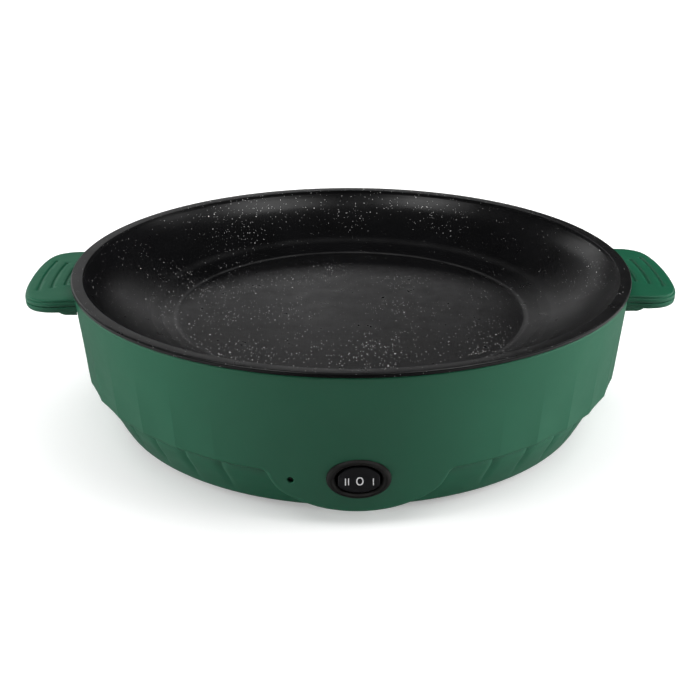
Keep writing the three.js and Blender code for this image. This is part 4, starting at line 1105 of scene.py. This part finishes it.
# the studio: dark above, and below the table line a soft grey that brightens to the sides and rear, for what
# glossy surfaces see there
world = bpy.data.worlds.new("studio")
bpy.context.scene.world = world
world.use_nodes = True
wnt = world.node_tree
direction = node(wnt, "ShaderNodeTexCoord").outputs["Generated"]
split = node(wnt, "ShaderNodeSeparateXYZ")
wnt.links.new(direction, split.inputs["Vector"])
side = math_node(wnt, "ABSOLUTE", split.outputs["X"], 0.0)
low = math_node(wnt, "MULTIPLY", span(wnt, side, 0.01, 0.44, 0.25, 1.0), span(wnt, split.outputs["Z"], 1.0, 2.8, -0.42, -0.15))
low = math_node(wnt, "MULTIPLY", low, span(wnt, split.outputs["X"], 0.8, 1.08, -1.0, 1.0))
low = math_node(wnt, "ADD", low, span(wnt, split.outputs["Y"], 0.0, 0.05, -0.1, 0.6))
low = math_node(wnt, "ADD", low, span(wnt, split.outputs["Z"], 0.09, 0.0, -0.72, -0.42))
low = math_node(wnt, "MULTIPLY", low, span(wnt, split.outputs["Z"], 0.4, 1.0, -1.0, -0.6))
rise = math_node(wnt, "MULTIPLY", low, span(wnt, split.outputs["Z"], 1.0, 0.0, -0.04, 0.04))
bg = wnt.nodes["Background"]
bg.inputs["Color"].default_value = (1, 1, 1, 1)
wnt.links.new(rise, bg.inputs["Strength"])


def area(name, azimuth, elevation, distance, size_x, size_y, radiance, glossy=True, aim=(0, 0, 0.05)):
    """Soft box seen from the object at an azimuth (0 front, 90 right) and elevation, of an even radiance."""
    a, e = math.radians(azimuth), math.radians(elevation)
    at = Vector(aim) + distance * Vector((math.sin(a) * math.cos(e), -math.cos(a) * math.cos(e), math.sin(e)))
    data = bpy.data.lights.new(name, "AREA")
    data.shape = "RECTANGLE"
    data.size, data.size_y = size_x, size_y
    data.energy = radiance * math.pi * size_x * size_y
    ob = bpy.data.objects.new(name, data)
    ob.location = at
    ob.rotation_euler = (Vector(aim) - at).to_track_quat("-Z", "Y").to_euler()
    bpy.context.scene.collection.objects.link(ob)
    ob.visible_glossy = glossy
    ob.visible_camera = False
    return ob


LIGHTS = [
    ("overhead", 0, 90, 2.5, 3.4, 3.4, 0.88, False),
    ("backdrop", 180, 80, 2.2, 5.0, 2.8, 2.25, False, (0, 2.5, 0)),
    ("side_left", -88, 14, 1.7, 1.3, 1.0, 7.7, False),
    ("side_right", 88, 14, 1.7, 1.3, 1.0, 10.8, False),
    ("key_left", -53, 58, 1.6, 0.55, 0.7, 2.9, True),
    ("key_right", 61, 59, 1.6, 0.65, 0.85, 2.7, True),
    ("rear_left", 195, 19.5, 2.6, 1.3, 0.27, 0.90, True),
    ("rear_right", 175.5, 19.5, 2.6, 0.6, 0.27, 0.80, True),
    ("rear_far_left", 216, 21, 2.2, 0.5, 0.9, 1.45, True),
    ("rim_right", 100, 30, 1.8, 0.5, 0.9, 1.0, True),
]
for light in LIGHTS:
    area(*light)

# ---------------------------------------------------------------------- camera
YAW, PITCH, ROLL = math.radians(1.45), math.radians(23.314), math.radians(0.12)
D, H = 0.620, 0.21151
cam_data = bpy.data.cameras.new("camera")
cam = bpy.data.objects.new("camera", cam_data)
bpy.context.scene.collection.objects.link(cam)
cam.location = (-D * math.sin(YAW), -D * math.cos(YAW), RIM_Z * MM + H)
cam.rotation_euler = (Matrix.Rotation(-YAW, 3, "Z") @ Matrix.Rotation(math.pi / 2 - PITCH, 3, "X") @ Matrix.Rotation(ROLL, 3, "Z")).to_euler()
cam_data.sensor_width = 36
cam_data.lens = 1145.46 / 700 * 36
cam_data.shift_x = -1 / 700
cam_data.clip_start = 0.01
bpy.context.scene.camera = cam
bpy.context.scene.view_settings.view_transform = "Standard"
bpy.context.scene.view_settings.look = "None"
bpy.context.scene.view_settings.exposure = 0
bpy.context.scene.view_settings.gamma = 1
